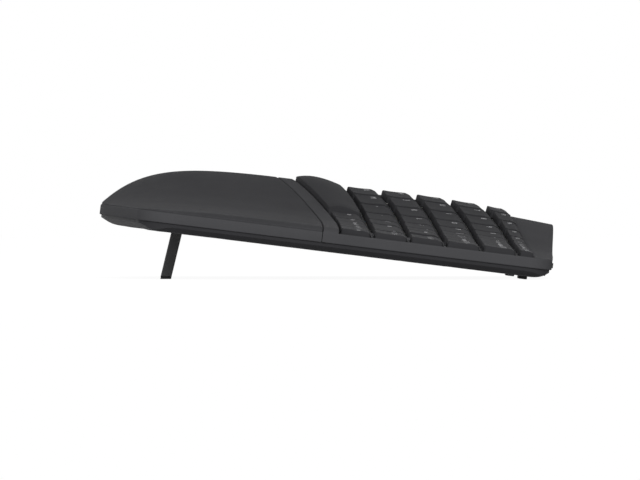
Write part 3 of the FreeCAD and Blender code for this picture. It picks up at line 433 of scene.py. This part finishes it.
def edge_line(x, fall, corner):
    """The outline's fall at x with its round corner: the corner's circle beyond its touching point."""
    x = np.clip(x, -side, side)
    radius = big_arc(x, fall)
    reach = np.sign(x) * (side - corner) - split
    touch = split + radius * reach / (radius - corner)
    circle = corner_centre(x, fall, corner) - np.sqrt(
        np.maximum(corner ** 2 - np.maximum(np.abs(x) - side + corner, 0) ** 2, 0))
    return np.where(np.abs(x) > np.abs(touch), circle, arc_line(x, fall))


def front_outline(x):
    """y of the front outline: the front arc's fall with its round corners."""
    return edge_line(x, front_fall, front_corner)


def rear_outline(x):
    """y of the rear outline: the case's depth less the rear arc's fall with its round corners."""
    return depth - edge_line(x, rear_fall, rear_corner)


def edge_distance(x, y):
    """Distance inwards from the plan outline: the least of the sides, the two arcs and the corners."""
    gap = np.minimum(side - np.abs(x), np.minimum(y - front_edge(x), rear_edge(x) - y))
    for fall, corner, back in ((front_fall, front_corner, y), (rear_fall, rear_corner, depth - y)):
        across = np.abs(x) - (side - corner)
        along = corner_centre(x, fall, corner) - back
        in_corner = (across > 0) & (along > 0)
        gap = np.where(in_corner, np.minimum(gap, corner - np.hypot(across, along)), gap)
    return np.maximum(gap, 0.0)


def rounding(distance, radius):
    """How far a rounded edge has fallen at a distance inside it: a quarter circle."""
    inside = np.clip(radius - distance, 0, radius)
    return radius - np.sqrt(radius ** 2 - inside ** 2)


# The key field falls from a crest at the split to both sides, and its rows curve back from there.
pad_top, key_top, cap_rise = 34.7, 35.2, 3.2
drop_reach, fall, fall_blend = 70.0, 0.016, 15.0
rear_drop, rear_drop_start = 4.4, 150.0
pad_run, pad_round, side_roll, roll_power = 84.0, 26.3, 8.0, 2.5
smile_deep, smile_reach, smile_power = 16.4, 62.0, 1.6
row_lines, last_curve = (105.0, 122.4, 140.9, 159.2, 177.7, 196.0, 211.0), 0.65
bulge, bulge_reach, strip, ledge = 8.0, 70.0, 7.7, 0.4
keys_left, main_right, nav, pad = -221.0, 82.0, (87.0, 143.0), (148.0, 221.5)
split_gap = (3.0, 13.0, 10.5, 8.5, 7.0, 5.5)
space_ends, space_short = (-158.0, -5.0), 0.4
cap_gap, cap_gap_x, rib_clear, end_room, split_room = 2.1, 1.7, 0.5, 0.25, 1.15
full_drop = key_top - cap_rise - rim_top


def drop_share(d):
    """One less a bell: e to the minus square of the distance over its reach."""
    return 1 - np.exp(-(d / drop_reach) ** 2)


def gentle_fall(d):
    """An even slope with a soft start: a hyperbola less its least height."""
    return fall * (np.hypot(d, fall_blend) - fall_blend)


def drop(x):
    """How far the case has fallen at x from its crest at the split: a bell plus a gentle slope."""
    d = np.abs(x - split)
    right, left = pad[1] - split, split - keys_left
    deep = by_half(x, (full_drop - gentle_fall(right)) / drop_share(right),
                   (full_drop - gentle_fall(left)) / drop_share(left))
    return deep * drop_share(d) + gentle_fall(d)


def smile(x):
    """How far the rows have curved back at x: their depth of curve times one less a flattened bell."""
    return smile_deep * (1 - np.exp(-(np.abs(x - split) / smile_reach) ** smile_power))


def row_line(row, x):
    """y of the line in front of a row: its y at the split plus the curve; the first also bulges forward."""
    if row == 0:
        return row_lines[0] + smile(x) - bulge * np.exp(-((x - split) / bulge_reach) ** 2)
    return row_lines[row] + (last_curve if row == 6 else 1.0) * smile(x)


def seam_line(x):
    """y of the seam with the palm rest: a strip's width in front of the first row."""
    return row_line(0, x) - strip


def frame_level(x, y):
    """Height of the key field: the section along the split, scaled down to both sides."""
    back = np.maximum(0.0, y - smile(x) - rear_drop_start) / (depth - rear_drop_start)
    crown = key_top - cap_rise - rear_drop * back ** 1.5
    return rim_top + (crown - rim_top) * (1 - drop(x) / full_drop)


def pad_level(x, y):
    """Height of the palm rest: rim plus crown, times one less a fading slope, rolled down at the sides."""
    t = np.clip(y - front_edge(x), 0, pad_run)
    roll = np.clip(np.abs(x) - side + side_roll, 0, side_roll) / side_roll
    lift = (pad_top - rim_top - drop(x)) * (1 - roll ** roll_power)
    return rim_top + lift * (1 - (1 - t / pad_run) * np.exp(-t / pad_round))


third = (nav[1] - nav[0]) / 3
slots = [(row, keys_left, split - split_gap[row] + (split_room if row else 0)) for row in range(6)]
slots += [(row, split + split_gap[row] - (split_room if row else 0), main_right) for row in range(6)]
slots += [(row, nav[0], nav[1]) for row in (0, 3, 4, 5)] + [(1, nav[0] + third, nav[1] - third)]
slots += [(row, pad[0], pad[1]) for row in range(6)]
window_x, window_z = (190.0, 202.0), (5.2, 8.4)

# Columns stand at each slot's ends and a little beside them, where the edge is chamfered.
chamfer, chamfer_fall, frame_round, deck_thick, hair = 0.3, 0.7, 0.7, 1.6, 0.01
closest_columns, widest_columns = 0.03, 3.5
columns = {x + way * room for _, x0, x1 in slots for x, way in ((x0 - end_room, -1), (x1 + end_room, 1))
           for room in (0.0, chamfer)}
columns |= {way * (side - room) for way in (-1, 1) for room in (0, 0.04, 0.15, 0.35, 0.7, 1.4, 2.6, 4.2)}
columns |= set(window_x)
columns |= {way * (side - rear_corner * (1 - math.sin(turn))) for way in (-1, 1)
            for turn in np.linspace(0, 1.3, 10)}
columns = np.array(sorted(columns))
columns = columns[np.concatenate([[True], np.diff(columns) > closest_columns])]
columns = np.concatenate([np.linspace(a, b, max(1, round((b - a) / widest_columns)), endpoint=False)
                          for a, b in zip(columns[:-1], columns[1:])] + [columns[-1:]])

# Lines run along the rows, from the seam with the palm rest back to the rear edge.
seam, strip_rear = seam_line(columns), row_line(0, columns) + cap_gap / 2 - rib_clear - ledge
crest = np.clip(pad_level(columns, strip_rear) - frame_level(columns, strip_rear), 0, frame_round)
line_y, line_z = [], []


def field_line(y, level, inside=9.0, radius=frame_round):
    """One line over all columns: its y, and its level less the rounding of a nearby edge."""
    line_y.append(y)
    line_z.append(level(columns, y) - rounding(inside, radius))


edge_steps = (0.0, 0.05, 0.2, 0.4, 0.7)
for inside in edge_steps:
    field_line(seam + inside, pad_level, inside)
for share in (0.25, 0.5, 0.75):
    field_line(seam + frame_round + share * (strip_rear - seam - 2 * frame_round), pad_level)
for inside in edge_steps[::-1]:
    field_line(strip_rear - inside, pad_level, inside, crest)
field_line(strip_rear + hair, frame_level)
rib = cap_gap / 2 - rib_clear
slot_lines = []
for row in range(6):
    front, rear = row_line(row, columns) + rib, row_line(row + 1, columns) - rib
    if row:
        field_line(front - chamfer, frame_level)
    slot_lines.append((len(line_y), len(line_y) + 5))
    for share in (0.0, 0.2, 0.4, 0.6, 0.8, 1.0):
        field_line(front + share * (rear - front), frame_level)
    field_line(rear + chamfer, frame_level)
last, back = row_line(6, columns), rear_outline(columns)
for share in (0.12, 0.25, 0.4, 0.55, 0.7, 0.85):
    field_line(last + share * (back - last), frame_level)
rear_steps, closest_lines = (0.7, 0.35, 0.15, 0.04, 0.0), 0.012
for inside in rear_steps:
    field_line(back - inside, frame_level)

# Where the rows run out over the rear outline, their lines are held close inside it.
grid_y, grid_z = np.array(line_y), np.array(line_z)
deep, wide = grid_y.shape
grid_x = np.broadcast_to(columns, (deep, wide))
lines_left = np.arange(deep)[::-1, None]
limit = back - (np.where(lines_left < len(rear_steps), 0.0, rear_steps[0]) + closest_lines * lines_left)
grid_z = np.where(grid_y > limit, frame_level(grid_x, np.minimum(grid_y, limit)), grid_z)
grid_y = np.minimum(grid_y, limit)
grid_z = grid_z - rounding(edge_distance(grid_x, grid_y), frame_round)

solid = np.ones((deep - 1, wide - 1), bool)
for row, x0, x1 in slots:
    first, last = slot_lines[row]
    inside = (columns[:-1] > x0 - end_room - hair) & (columns[1:] < x1 + end_room + hair)
    solid[first:last, inside] = False
around_hole = np.pad(~solid, 1, constant_values=False)
touches = around_hole[:-1, :-1] | around_hole[1:, :-1] | around_hole[:-1, 1:] | around_hole[1:, 1:]
grid_z = np.where(touches, grid_z - chamfer_fall * chamfer, grid_z)

# The inner face lies a wall's thickness inside; it meets the outer one along the slots and the rim.
inner_x = np.clip(grid_x, wall - side, side - wall)
inner_y = np.clip(grid_y, seam_line(inner_x) + wall, rear_outline(inner_x) - wall)
inner_z = frame_level(grid_x, grid_y) - deck_thick
top = np.stack([grid_x, grid_y, grid_z], -1).reshape(-1, 3)
under = np.stack([inner_x, inner_y, inner_z], -1).reshape(-1, 3)
number = np.arange(deep * wide).reshape(deep, wide)


def grid_cells(number):
    """Quads of a grid of point numbers, in the grid's own shape."""
    return np.stack([number[:-1, :-1], number[:-1, 1:], number[1:, 1:], number[1:, :-1]], -1)


def grid_rim(number):
    """The grid's outer points, counterclockwise from its first corner."""
    return np.concatenate([number[0, :-1], number[:-1, -1], number[-1, :0:-1], number[:0:-1, 0]])


def wall_quads(upper, lower):
    """Quads between two closed loops of point numbers."""
    return np.stack([upper, lower, np.roll(lower, -1), np.roll(upper, -1)], -1)


def jambs(upper, lower, flip):
    """Quads down a slot's edge, from pairs of points on the outer face to those on the inner one."""
    quad = np.stack([upper, upper + deep * wide, lower + deep * wide, lower], -1)
    return np.where(flip[:, None], quad[:, ::-1], quad)


cells = grid_cells(number)[solid]
faces = [cells, cells[:, ::-1] + deep * wide]
k, i = np.nonzero(solid[:, 1:] != solid[:, :-1])
faces.append(jambs(number[k, i + 1], number[k + 1, i + 1], solid[k, i + 1]))
k, i = np.nonzero(solid[1:, :] != solid[:-1, :])
faces.append(jambs(number[k + 1, i + 1], number[k + 1, i], solid[k + 1, i]))

rim = grid_rim(number)
edge = top[rim]


def inwards(loop):
    """Unit vectors into a counterclockwise loop: its tangent turned to the left."""
    run = np.roll(loop[:, :2], -1, 0) - np.roll(loop[:, :2], 1, 0)
    turned = np.stack([-run[:, 1], run[:, 0]], 1)
    return turned / np.maximum(np.linalg.norm(turned, axis=1), 1e-9)[:, None]


# The power switch has its window in the rear wall: two rings outside and two inside hold its edges.
into = inwards(edge)
low, high = window_z
rear_wall = 200.0
ring_places = ((0.0, high), (0.0, low), (0.0, rim_low + 0.35), (0.1, rim_low + 0.1), (0.35, rim_low),
               (wall, rim_low), (wall, low), (wall, high))
rings = [np.column_stack([edge[:, :2] + into * inset, np.full(len(edge), z)]) for inset, z in ring_places]
ids = [rim] + [2 * deep * wide + r * len(rim) + np.arange(len(rim)) for r in range(8)] + [rim + deep * wide]
ahead = np.roll(edge, -1, 0)
hole = (edge[:, 1] > rear_wall) & (edge[:, 0] < window_x[1] + hair) & (ahead[:, 0] > window_x[0] - hair)
for ring, (upper, lower) in enumerate(zip(ids[:-1], ids[1:])):
    around_rim = wall_quads(upper, lower)
    faces.append(around_rim[~hole] if ring in (1, 7) else around_rim)
for upper, lower in ((ids[1], ids[8]), (ids[7], ids[2])):
    faces.append(wall_quads(upper, lower)[hole])
spots = np.nonzero(hole)[0]
for spot, loop in ((spots[0], (1, 2, 7, 8)), (spots[-1] + 1, (8, 7, 2, 1))):
    faces.append(np.array([[ids[ring][spot] for ring in loop]]))
make_piece("key_frame_shell", np.concatenate([top, under] + rings), np.concatenate(faces), look=case_abs,
           slot="case_plastic", replaces=["key_frame"], crease=48)


# Keycaps: hollow caps in fine matt ABS, one for each key, with an upright front edge, a shallow
# scoop for the finger and a long bevel behind. A round stem under each runs in the guide plate.
# Spark-fine grain: darker than the case, with a dull, even top.
key_abs = moulded("black_abs_fine_matt", "#373739", 0.55, 0.3, 0.008, shine=0.007)
cap_draft, cap_skirt, cap_edge, cap_corner = 0.4, 1.0, 0.3, 1.1
cap_fall, cap_scoop, cap_dish = 0.2, 0.22, 0.14
bevel, bevel_fall, bevel_round = 3.2, 1.2, 0.3
lip_round, lip, ceiling_inset = 0.12, 0.9, 1.3
near_edge = np.array([0.0, 0.04, 0.14, 0.3, 0.65, 1.1])
cap_lines, key_columns, bar_columns = 19, 17, 41
key_hollow, bar_hollow = 0.9, 2.0


def key_top_shape(x, y, half, half_deep):
    """Height of a cap's top: an even fall, a sine scoop along y, a parabola across x, and the bevel."""
    start = half_deep + cap_draft - bevel
    share = np.clip((y + half_deep) / (start + half_deep), 0, 1)
    past = y - start
    slope = (past + np.sqrt(past ** 2 + bevel_round ** 2)) / 2
    level = cap_rise - cap_fall * share - cap_scoop * np.sin(np.pi * share) - cap_dish * (1 - (x / half) ** 2)
    return level - slope * (bevel_fall - cap_fall) / (bevel - cap_draft)


def spread(half, count):
    """Positions across a cap: close together at both edges and even between them."""
    middle = np.linspace(-half + near_edge[-1], half - near_edge[-1], count - 2 * len(near_edge) + 2)[1:-1]
    return np.concatenate([near_edge - half, middle, half - near_edge[::-1]])


def cap_form(half, half_deep, shape, across_lines, hollow):
    """A cap in its own frame: the top on a grid whose corners are bent from square to round, then rings
    down the outside and up to a fan inside."""
    a, b = half - cap_draft, half_deep - cap_draft
    x, y = np.meshgrid(spread(a, across_lines), spread(b, cap_lines))
    across = np.clip((np.abs(x) - a + cap_corner) / cap_corner, 0, 1)
    along = np.clip((np.abs(y) - b + cap_corner) / cap_corner, 0, 1)
    corner = (across > 0) & (along > 0)
    bent_x = across * np.sqrt(1 - along ** 2 / 2)
    bent_y = along * np.sqrt(1 - across ** 2 / 2)
    x = np.where(corner, np.sign(x) * (a - cap_corner + cap_corner * bent_x), x)
    y = np.where(corner, np.sign(y) * (b - cap_corner + cap_corner * bent_y), y)
    distance = np.where(corner, cap_corner * (1 - np.hypot(bent_x, bent_y)),
                        np.minimum(a - np.abs(x), b - np.abs(y)))
    z = shape(x, y, a, b) - rounding(np.maximum(distance, 0), cap_edge)
    number = np.arange(x.size).reshape(x.shape)
    rim = grid_rim(number)
    edge_x, edge_y = x.ravel()[rim] / a, y.ravel()[rim] / b
    parts = [np.stack([x, y, z], -1).reshape(-1, 3)]
    for inset, level in ((0.0, lip_round - cap_skirt), (lip_round, -cap_skirt), (lip, -cap_skirt),
                         (ceiling_inset, hollow)):
        parts.append(np.column_stack([edge_x * (half - inset), edge_y * (half_deep - inset),
                                      np.full(len(rim), level)]))
    loops = [rim] + [number.size + ring * len(rim) + np.arange(len(rim)) for ring in range(4)]
    quads = [grid_cells(number).reshape(-1, 4)] + [wall_quads(*pair) for pair in zip(loops[:-1], loops[1:])]
    ceiling = loops[-1]
    fan = np.stack([ceiling, np.full(len(rim), ceiling[-1] + 1), np.roll(ceiling, -1)], -1)
    return np.concatenate(parts + [np.array([[0, 0, hollow]])]), np.concatenate(quads), fan


probe = 5.0


def key_frame_at(row, x0, x1):
    """Centre and axes of a key on the frame's face, its length and the least depth of its row along it.
    One axis is the row's chord, one is upright to it and to the fall from rear to front, and the last is
    their cross product."""
    def middle(x):
        """The point midway between the row's two lines at x, on the frame's face."""
        y = (row_line(row, x) + row_line(row + 1, x)) / 2
        return np.array([x, float(y), float(frame_level(x, y))])

    centre = middle((x0 + x1) / 2)
    along = middle(x1) - middle(x0)
    length = np.linalg.norm(along)
    along /= length
    rise = frame_level(centre[0], centre[1] + probe) - frame_level(centre[0], centre[1] - probe)
    normal = np.cross(along, (0, 2 * probe, float(rise)))
    normal /= np.linalg.norm(normal)
    at = np.array([x0, centre[0], x1])
    y = centre[1] + (at - centre[0]) * along[1] / along[0]
    room = min((y - row_line(row, at)).min(), (row_line(row + 1, at) - y).min())
    return centre, np.stack([along, np.cross(normal, along), normal]), length, 2 * along[0] * room


stem_radius, stem_drop, stem_sides, key_stem_top, bar_stem_top = 1.3, 4.3, 12, 0.95, 2.6
stem_shares, long_key = (0.22, 0.78), 32.0


def stems(row, x0, x1, axes, length, high):
    """Closed round stems, one or two for a key: each two rings round the key's upright."""
    turn = np.arange(stem_sides) / stem_sides * 2 * np.pi
    ring = stem_radius * np.column_stack([np.cos(turn), np.sin(turn)])
    low = -stem_drop * axes[2][2]
    form = np.concatenate([np.column_stack([ring, np.full(stem_sides, level)]) for level in (low, high)] +
                          [[[0, 0, low], [0, 0, high]]])
    spots = [x0 + (x1 - x0) * share for share in (stem_shares if length > long_key else (0.5,))]
    faces = tube_faces(2, stem_sides, True)
    return [(key_frame_at(row, x - 1, x + 1)[0] + form @ axes, *faces) for x in spots]


main_left = {1: (("shift_key_left", (1.6,)), ("bottom_letters_left", (1, 1, 1, 1, 1))),
             2: (("caps_lock_key", (1.6,)), ("home_letters_left", (1, 1, 1, 1, 1))),
             3: (("tab_key", (1.5,)), ("top_letters_left", (1, 1, 1, 1, 1.1))),
             4: (("number_row_left", (1.35, 1, 1, 1, 1, 1.15)),),
             5: (("function_row_left", (1.3, 1, 1, 1, 1, 1)),)}
main_right_half = {1: (("bottom_letters_right", (1, 1, 1, 1, 1)), ("shift_key_right", (2.9,))),
                   2: (("home_letters_right", (1, 1, 1, 1, 1, 1)), ("enter_key", (2.1,))),
                   3: (("top_letters_right", (1.05, 1, 1, 1, 1, 1, 1, 1.35)),),
                   4: (("number_row_right", (1.1, 1, 1, 1, 1, 1, 1)), ("backspace_key", (1.6,))),
                   5: (("function_row_right", (1, 1, 1, 1, 1, 1, 1, 1)),)}
blocks = [(row, keys_left, split - split_gap[row], main_left[row]) for row in range(1, 6)]
blocks += [(row, split + split_gap[row], main_right, main_right_half[row]) for row in range(1, 6)]
blocks += [(0, keys_left, space_ends[0], (("modifier_keys_left", (1.15, 1, 1)),)),
           (0, space_ends[1], main_right, (("modifier_keys_right", (1, 1, 1, 1.15)),)),
           (0, *nav, (("arrow_keys_lower", (1, 1, 1)),)),
           (1, nav[0] + third, nav[1] - third, (("arrow_key_up", (1,)),))]
blocks += [(row, *nav, ((name, (1, 1, 1)),))
           for row, name in ((3, "nav_lower_row"), (4, "nav_upper_row"), (5, "nav_top_row"))]
blocks += [(row, *pad, ((name, (2, 1, 1) if row == 0 else (1, 1, 1, 1)),))
           for row, name in enumerate(("numpad_zero_row", "numpad_one_row", "numpad_four_row",
                                       "numpad_seven_row", "numpad_lock_row", "numpad_top_row"))]
keys = {}
for row, x0, x1, members in blocks:
    total = sum(sum(widths) for _, widths in members)
    x = x0
    for node, widths in members:
        for width in widths:
            step = (x1 - x0) * width / total
            keys.setdefault(node, []).append((row, x, x + step))
            x += step

for node, places in keys.items():
    forms = []
    for row, x0, x1 in places:
        centre, axes, length, pitch = key_frame_at(row, x0, x1)
        points, quads, fan = cap_form((length - cap_gap_x) / 2, (pitch - cap_gap) / 2, key_top_shape,
                                      key_columns, key_hollow)
        forms += [(centre + points @ axes, quads, fan)] + stems(row, x0, x1, axes, length, key_stem_top)
    make_piece(node + "_caps", *joined(forms), look=key_abs, body=node, slot="key_plastic",
               replaces=[node], crease=40)


# Space bars: two longer hollow caps, moulded like the keys. They swell up along their front for the
# thumbs and follow their row's curve. Each is shaped on a straight strip, then laid along its row.
crown = np.polyfit((0.0, 0.33, 0.7, 1.0), (4.63, 5.8, 4.89, 3.1), 3)
end_fall, end_run, bar_half = 0.5, 9.0, 10.0


def space_top_shape(x, y, half, half_deep):
    """Height of a space bar's top: a cubic from front to rear, lowered a little towards both ends."""
    share = (y + half_deep) / (2 * half_deep)
    return np.polyval(crown, share) - end_fall * np.clip((np.abs(x) - half + end_run) / end_run, 0, 1) ** 2.5


for node, x0, x1 in (("space_key_left", space_ends[0], split - split_gap[0]),
                     ("space_key_right", split + split_gap[0], space_ends[1])):
    middle, half = (x0 + x1) / 2, (x1 - x0 - cap_gap_x - space_short) / 2
    middle += space_short / 2 if x0 < split else -space_short / 2
    form, quads, fan = cap_form(half, bar_half, space_top_shape, bar_columns, bar_hollow)
    x = middle + form[:, 0]
    y0, y1 = row_line(0, x) + cap_gap / 2, row_line(1, x) - cap_gap / 2
    y = (y0 + y1) / 2 + form[:, 1] / (2 * bar_half) * (y1 - y0)
    z = frame_level(x, (y0 + y1) / 2) + form[:, 2]
    _, axes, length, _ = key_frame_at(0, x0, x1)
    forms = [(np.column_stack([x, y, z]), quads, fan)] + stems(0, x0, x1, axes, length, bar_stem_top)
    make_piece(node + "_cap", *joined(forms), look=key_abs, body=node, slot="key_plastic",
               replaces=[node], crease=40)


# Legends: plain letters, numbers and words, pad printed in pale grey ink on each cap.
# A finger wears the print a little, so its tone isn't quite even.
legends = {
    "modifier_keys_left": "Ctrl Fn Alt", "modifier_keys_right": "Alt Fn Menu Ctrl",
    "shift_key_left": "Shift", "bottom_letters_left": "Z X C V B", "bottom_letters_right": "N M , . /",
    "shift_key_right": "Shift", "caps_lock_key": "Caps", "home_letters_left": "A S D F G",
    "home_letters_right": "H J K L ; '", "enter_key": "Enter", "tab_key": "Tab",
    "top_letters_left": "Q W E R T", "top_letters_right": "Y U I O P [ ] \\",
    "number_row_left": "` 1 2 3 4 5", "number_row_right": "6 7 8 9 0 - =", "backspace_key": "Back",
    "function_row_left": "Esc F1 F2 F3 F4 F5", "function_row_right": "F6 F7 F8 F9 F10 F11 F12 Del",
    "arrow_keys_lower": "< v >", "arrow_key_up": "^", "nav_lower_row": "Del End PgDn",
    "nav_upper_row": "Ins Home PgUp", "nav_top_row": "Prt Scr Brk", "numpad_zero_row": "0 . Enter",
    "numpad_one_row": "1 2 3 =", "numpad_four_row": "4 5 6 +", "numpad_seven_row": "7 8 9 -",
    "numpad_lock_row": "Num / * %", "numpad_top_row": "( ) C On"}
ink, tree, shader, place = fresh_look("pale_grey_pad_print", Roughness=0.6)
wear = add(tree, "ShaderNodeTexNoise", {"Scale": 600.0, "Detail": 3.0}, {"Vector": place})
finish_look(tree, shader, linear("#8e8e90"), linear("#b9b9bb"), wear.outputs["Fac"])
letter_high, word_high, from_left, print_lift = 4.2, 3.0, 2.0, 0.02
deep_cap, print_back, print_back_shallow = 6.0, 0.5, -1.0


def word_mesh(word, high):
    """Points and triangles of a word as thin raised print, in mm."""
    text = bpy.data.curves.new("word", "FONT")
    text.body, text.size, text.extrude, text.resolution_u = word, high, print_lift, 3
    holder = bpy.data.objects.new("word", text)
    bpy.context.scene.collection.objects.link(holder)
    shaped = holder.evaluated_get(bpy.context.evaluated_depsgraph_get())
    mesh = bpy.data.meshes.new_from_object(shaped)
    mesh.calc_loop_triangles()
    points = np.zeros(len(mesh.vertices) * 3)
    corners = np.zeros(len(mesh.loop_triangles) * 3, np.int32)
    mesh.vertices.foreach_get("co", points)
    mesh.loop_triangles.foreach_get("vertices", corners)
    for made, store in ((holder, bpy.data.objects), (text, bpy.data.curves), (mesh, bpy.data.meshes)):
        store.remove(made)
    return points.reshape(-1, 3), corners.reshape(-1, 3)


words = {}
for node, text in legends.items():
    forms = []
    for (row, x0, x1), word in zip(keys[node], text.split(" ")):
        centre, axes, length, pitch = key_frame_at(row, x0, x1)
        half, half_deep = (length - cap_gap_x) / 2 - cap_draft, (pitch - cap_gap) / 2 - cap_draft
        high = letter_high if len(word) == 1 else word_high
        if (word, high) not in words:
            words[word, high] = word_mesh(word, high)
        shape, corners = words[word, high]
        x = shape[:, 0] - half + from_left
        y = shape[:, 1] + (print_back if half_deep > deep_cap else print_back_shallow)
        z = key_top_shape(x, y, half, half_deep) + print_lift + shape[:, 2]
        forms.append((centre + np.column_stack([x, y, z]) @ axes, np.zeros((0, 4), int), corners))
    make_piece(node + "_print", *joined(forms), look=ink, body=node, slot="key_plastic")


# Palm rest tray: a thin shell of black ABS under the foam, with the front part of the rim band.
# The band runs round the front of the outline, from the seam on one side to the seam on the other.
seam_gap = 0.3


def path_round_front():
    """Points round the front: down the right side, round its corner, along the arcs and up the left side."""
    fine = np.sin(np.linspace(0, np.pi / 2, 24))
    xs = np.concatenate([side - front_corner + front_corner * fine[::-1], np.linspace(200, -200, 90),
                         -(side - front_corner + front_corner * fine)])
    ends = np.linspace(0.0, 1.0, 12)
    right = seam_line(side) - seam_gap + ends[:-1] * (front_outline(side) - seam_line(side) + seam_gap)
    left = front_outline(-side) + ends[1:] * (seam_line(-side) - seam_gap - front_outline(-side))
    return np.concatenate([np.column_stack([np.full(11, side), right]),
                           np.column_stack([xs, front_outline(xs)]),
                           np.column_stack([np.full(11, -side), left])])


band_path = path_round_front()
run = np.gradient(band_path, axis=0)
into = np.column_stack([run[:, 1], -run[:, 0]]) / np.linalg.norm(run, axis=1)[:, None]
into *= -np.sign(into[0, 0])
band_profile = [(wall, rim_low), (0.35, rim_low), (0.1, rim_low + 0.1), (0.0, rim_low + 0.35),
                (0.0, rim_top - 0.7), (0.06, rim_top - 0.4), (0.25, rim_top - 0.15), (0.6, rim_top),
                (wall, rim_top)]
loops = np.stack([np.column_stack([band_path + into * inset, np.full(len(band_path), z)])
                  for inset, z in band_profile], 1)
ends = np.array([loops[0].mean(0), loops[-1].mean(0)])
make_piece("palm_rest_band", np.concatenate([loops.reshape(-1, 3), ends]),
           *tube_faces(len(band_path), len(band_profile)), look=case_abs, slot="case_plastic",
           replaces=["palm_rest_tray"], crease=48)


# Palm rest layers: tray shell, foam and cloth follow one face at three depths, like leaves of a book.
# The cloth is a fine knit coated in soft polyurethane; its hem is rolled down over the tray's rim.
layer_edge = np.array([0.0, 0.05, 0.18, 0.4, 0.7, 1.1, 1.7, 2.6, 4.0, 6.0, 8.5])
corner_lines, middle_start, middle_end = np.linspace(11.0, front_corner, 5), 24, 22
rear_edge_lines, middle_run, least_thick = 8, 70, 0.01
hem_fade, rear_round, shell_room = 3.0, 0.9, 0.1


def palm_layer(name, upper, lower, inset, foot, hem=0.0, step=4.0, **facts):
    """A closed sheet between two depths under the palm rest's face, on a grid that hugs its outline."""
    reach = side - inset
    x = np.concatenate([layer_edge - reach, corner_lines - reach,
                        np.arange(-reach + middle_start, reach - middle_end, step),
                        reach - corner_lines[::-1], reach - layer_edge[::-1]])
    front = front_outline(x * side / reach) + inset
    rear = seam_line(x) - seam_gap - (wall + shell_room if inset > 1 else 0.0)
    shares = np.linspace(0, 1, int(middle_run / step) + 2)[1:-1, None]
    last_front, first_rear = layer_edge[-1], layer_edge[rear_edge_lines - 1]
    y = np.concatenate([front + layer_edge[:, None],
                        front + last_front + shares * (rear - front - last_front - first_rear),
                        rear - layer_edge[rear_edge_lines - 1::-1, None]])
    x = np.broadcast_to(x, y.shape)
    level = pad_level(x, y)
    gap = edge_distance(x * side / reach, y - inset)
    high = np.maximum(level - upper, foot + 2 * least_thick)
    if hem:
        high = high + (hem - rounding(gap, hem)) * np.exp(-np.maximum(gap - hem, 0) / hem_fade)
        high = high - rounding(rear - y, rear_round)
    low = np.minimum(np.maximum(level - lower, foot), high - least_thick)
    deep, wide = y.shape
    number = np.arange(deep * wide).reshape(deep, wide)
    cells, rim = grid_cells(number).reshape(-1, 4), grid_rim(number)
    points = np.concatenate([np.stack([x, y, z], -1).reshape(-1, 3) for z in (high, low)])
    faces = [cells, cells[:, ::-1] + deep * wide, wall_quads(rim, rim + deep * wide)]
    return make_piece(name, points, np.concatenate(faces), **facts)


cloth_depths, foam_depths, shell_depths = (0.0, 1.2), (1.35, 4.05), (4.2, 5.9)
palm_layer("palm_rest_shell", *shell_depths, wall, rim_top - 1.5, look=case_abs, slot="case_plastic",
           replaces=["palm_rest_tray"], crease=40)

# Cut open cells: a dull, rough face whose pores are darkened by painted shade in their hollows.
foam, tree, shader, place = fresh_look("open_cell_polyurethane_foam", Roughness=0.95,
                                       Specular_IOR_Level=0.2)
pores = add(tree, "ShaderNodeTexVoronoi", {"Scale": 1800.0}, {"Vector": place}).outputs["Distance"]
relief = add(tree, "ShaderNodeBump", {"Strength": 1.0, "Distance": 0.0003}, {"Height": pores})
# Painted shade: the base colour is darkest at each cell's middle, where the bump sinks into the pore, and
# lightest at its rim.
finish_look(tree, shader, linear("#2b2b2b"), linear("#5a5a5a"), pores, relief=relief)
foam_pad = palm_layer("palm_rest_foam_sheet", *foam_depths, wall + 0.15, rim_low + 0.3, look=foam,
                      slot="foam", replaces=["palm_rest_foam"], crease=40)

# Threads of the knit are 0.5 mm apart: a wave's period in metres is 0.314 over its scale.
cloth, tree, shader, place = fresh_look("polyurethane_coated_knit", Specular_IOR_Level=0.01)
warp, weft = (add(tree, "ShaderNodeTexWave", {"bands_direction": way, "Scale": 628.0, "Distortion": 0.6},
                  {"Vector": place}).outputs["Fac"] for way in ("X", "Y"))
knit = add(tree, "ShaderNodeMath", {"operation": "MULTIPLY"}, {0: warp, 1: weft}).outputs[0]
clouds = add(tree, "ShaderNodeTexNoise", {"Scale": 35.0, "Detail": 3.0}, {"Vector": place}).outputs["Fac"]
dry = add(tree, "ShaderNodeMapRange", {"To Min": 0.72, "To Max": 0.6}, {"Value": knit})
relief = add(tree, "ShaderNodeBump", {"Strength": 0.6, "Distance": 0.00003}, {"Height": knit})
finish_look(tree, shader, linear("#38383a"), linear("#424244"), clouds, dry, relief)
palm_cloth = palm_layer("palm_rest_cloth", *cloth_depths, 0.6, rim_top + 0.05, hem=0.25, step=2.5, look=cloth,
                        slot="palm_cloth", replaces=["palm_rest_skin"], crease=60)
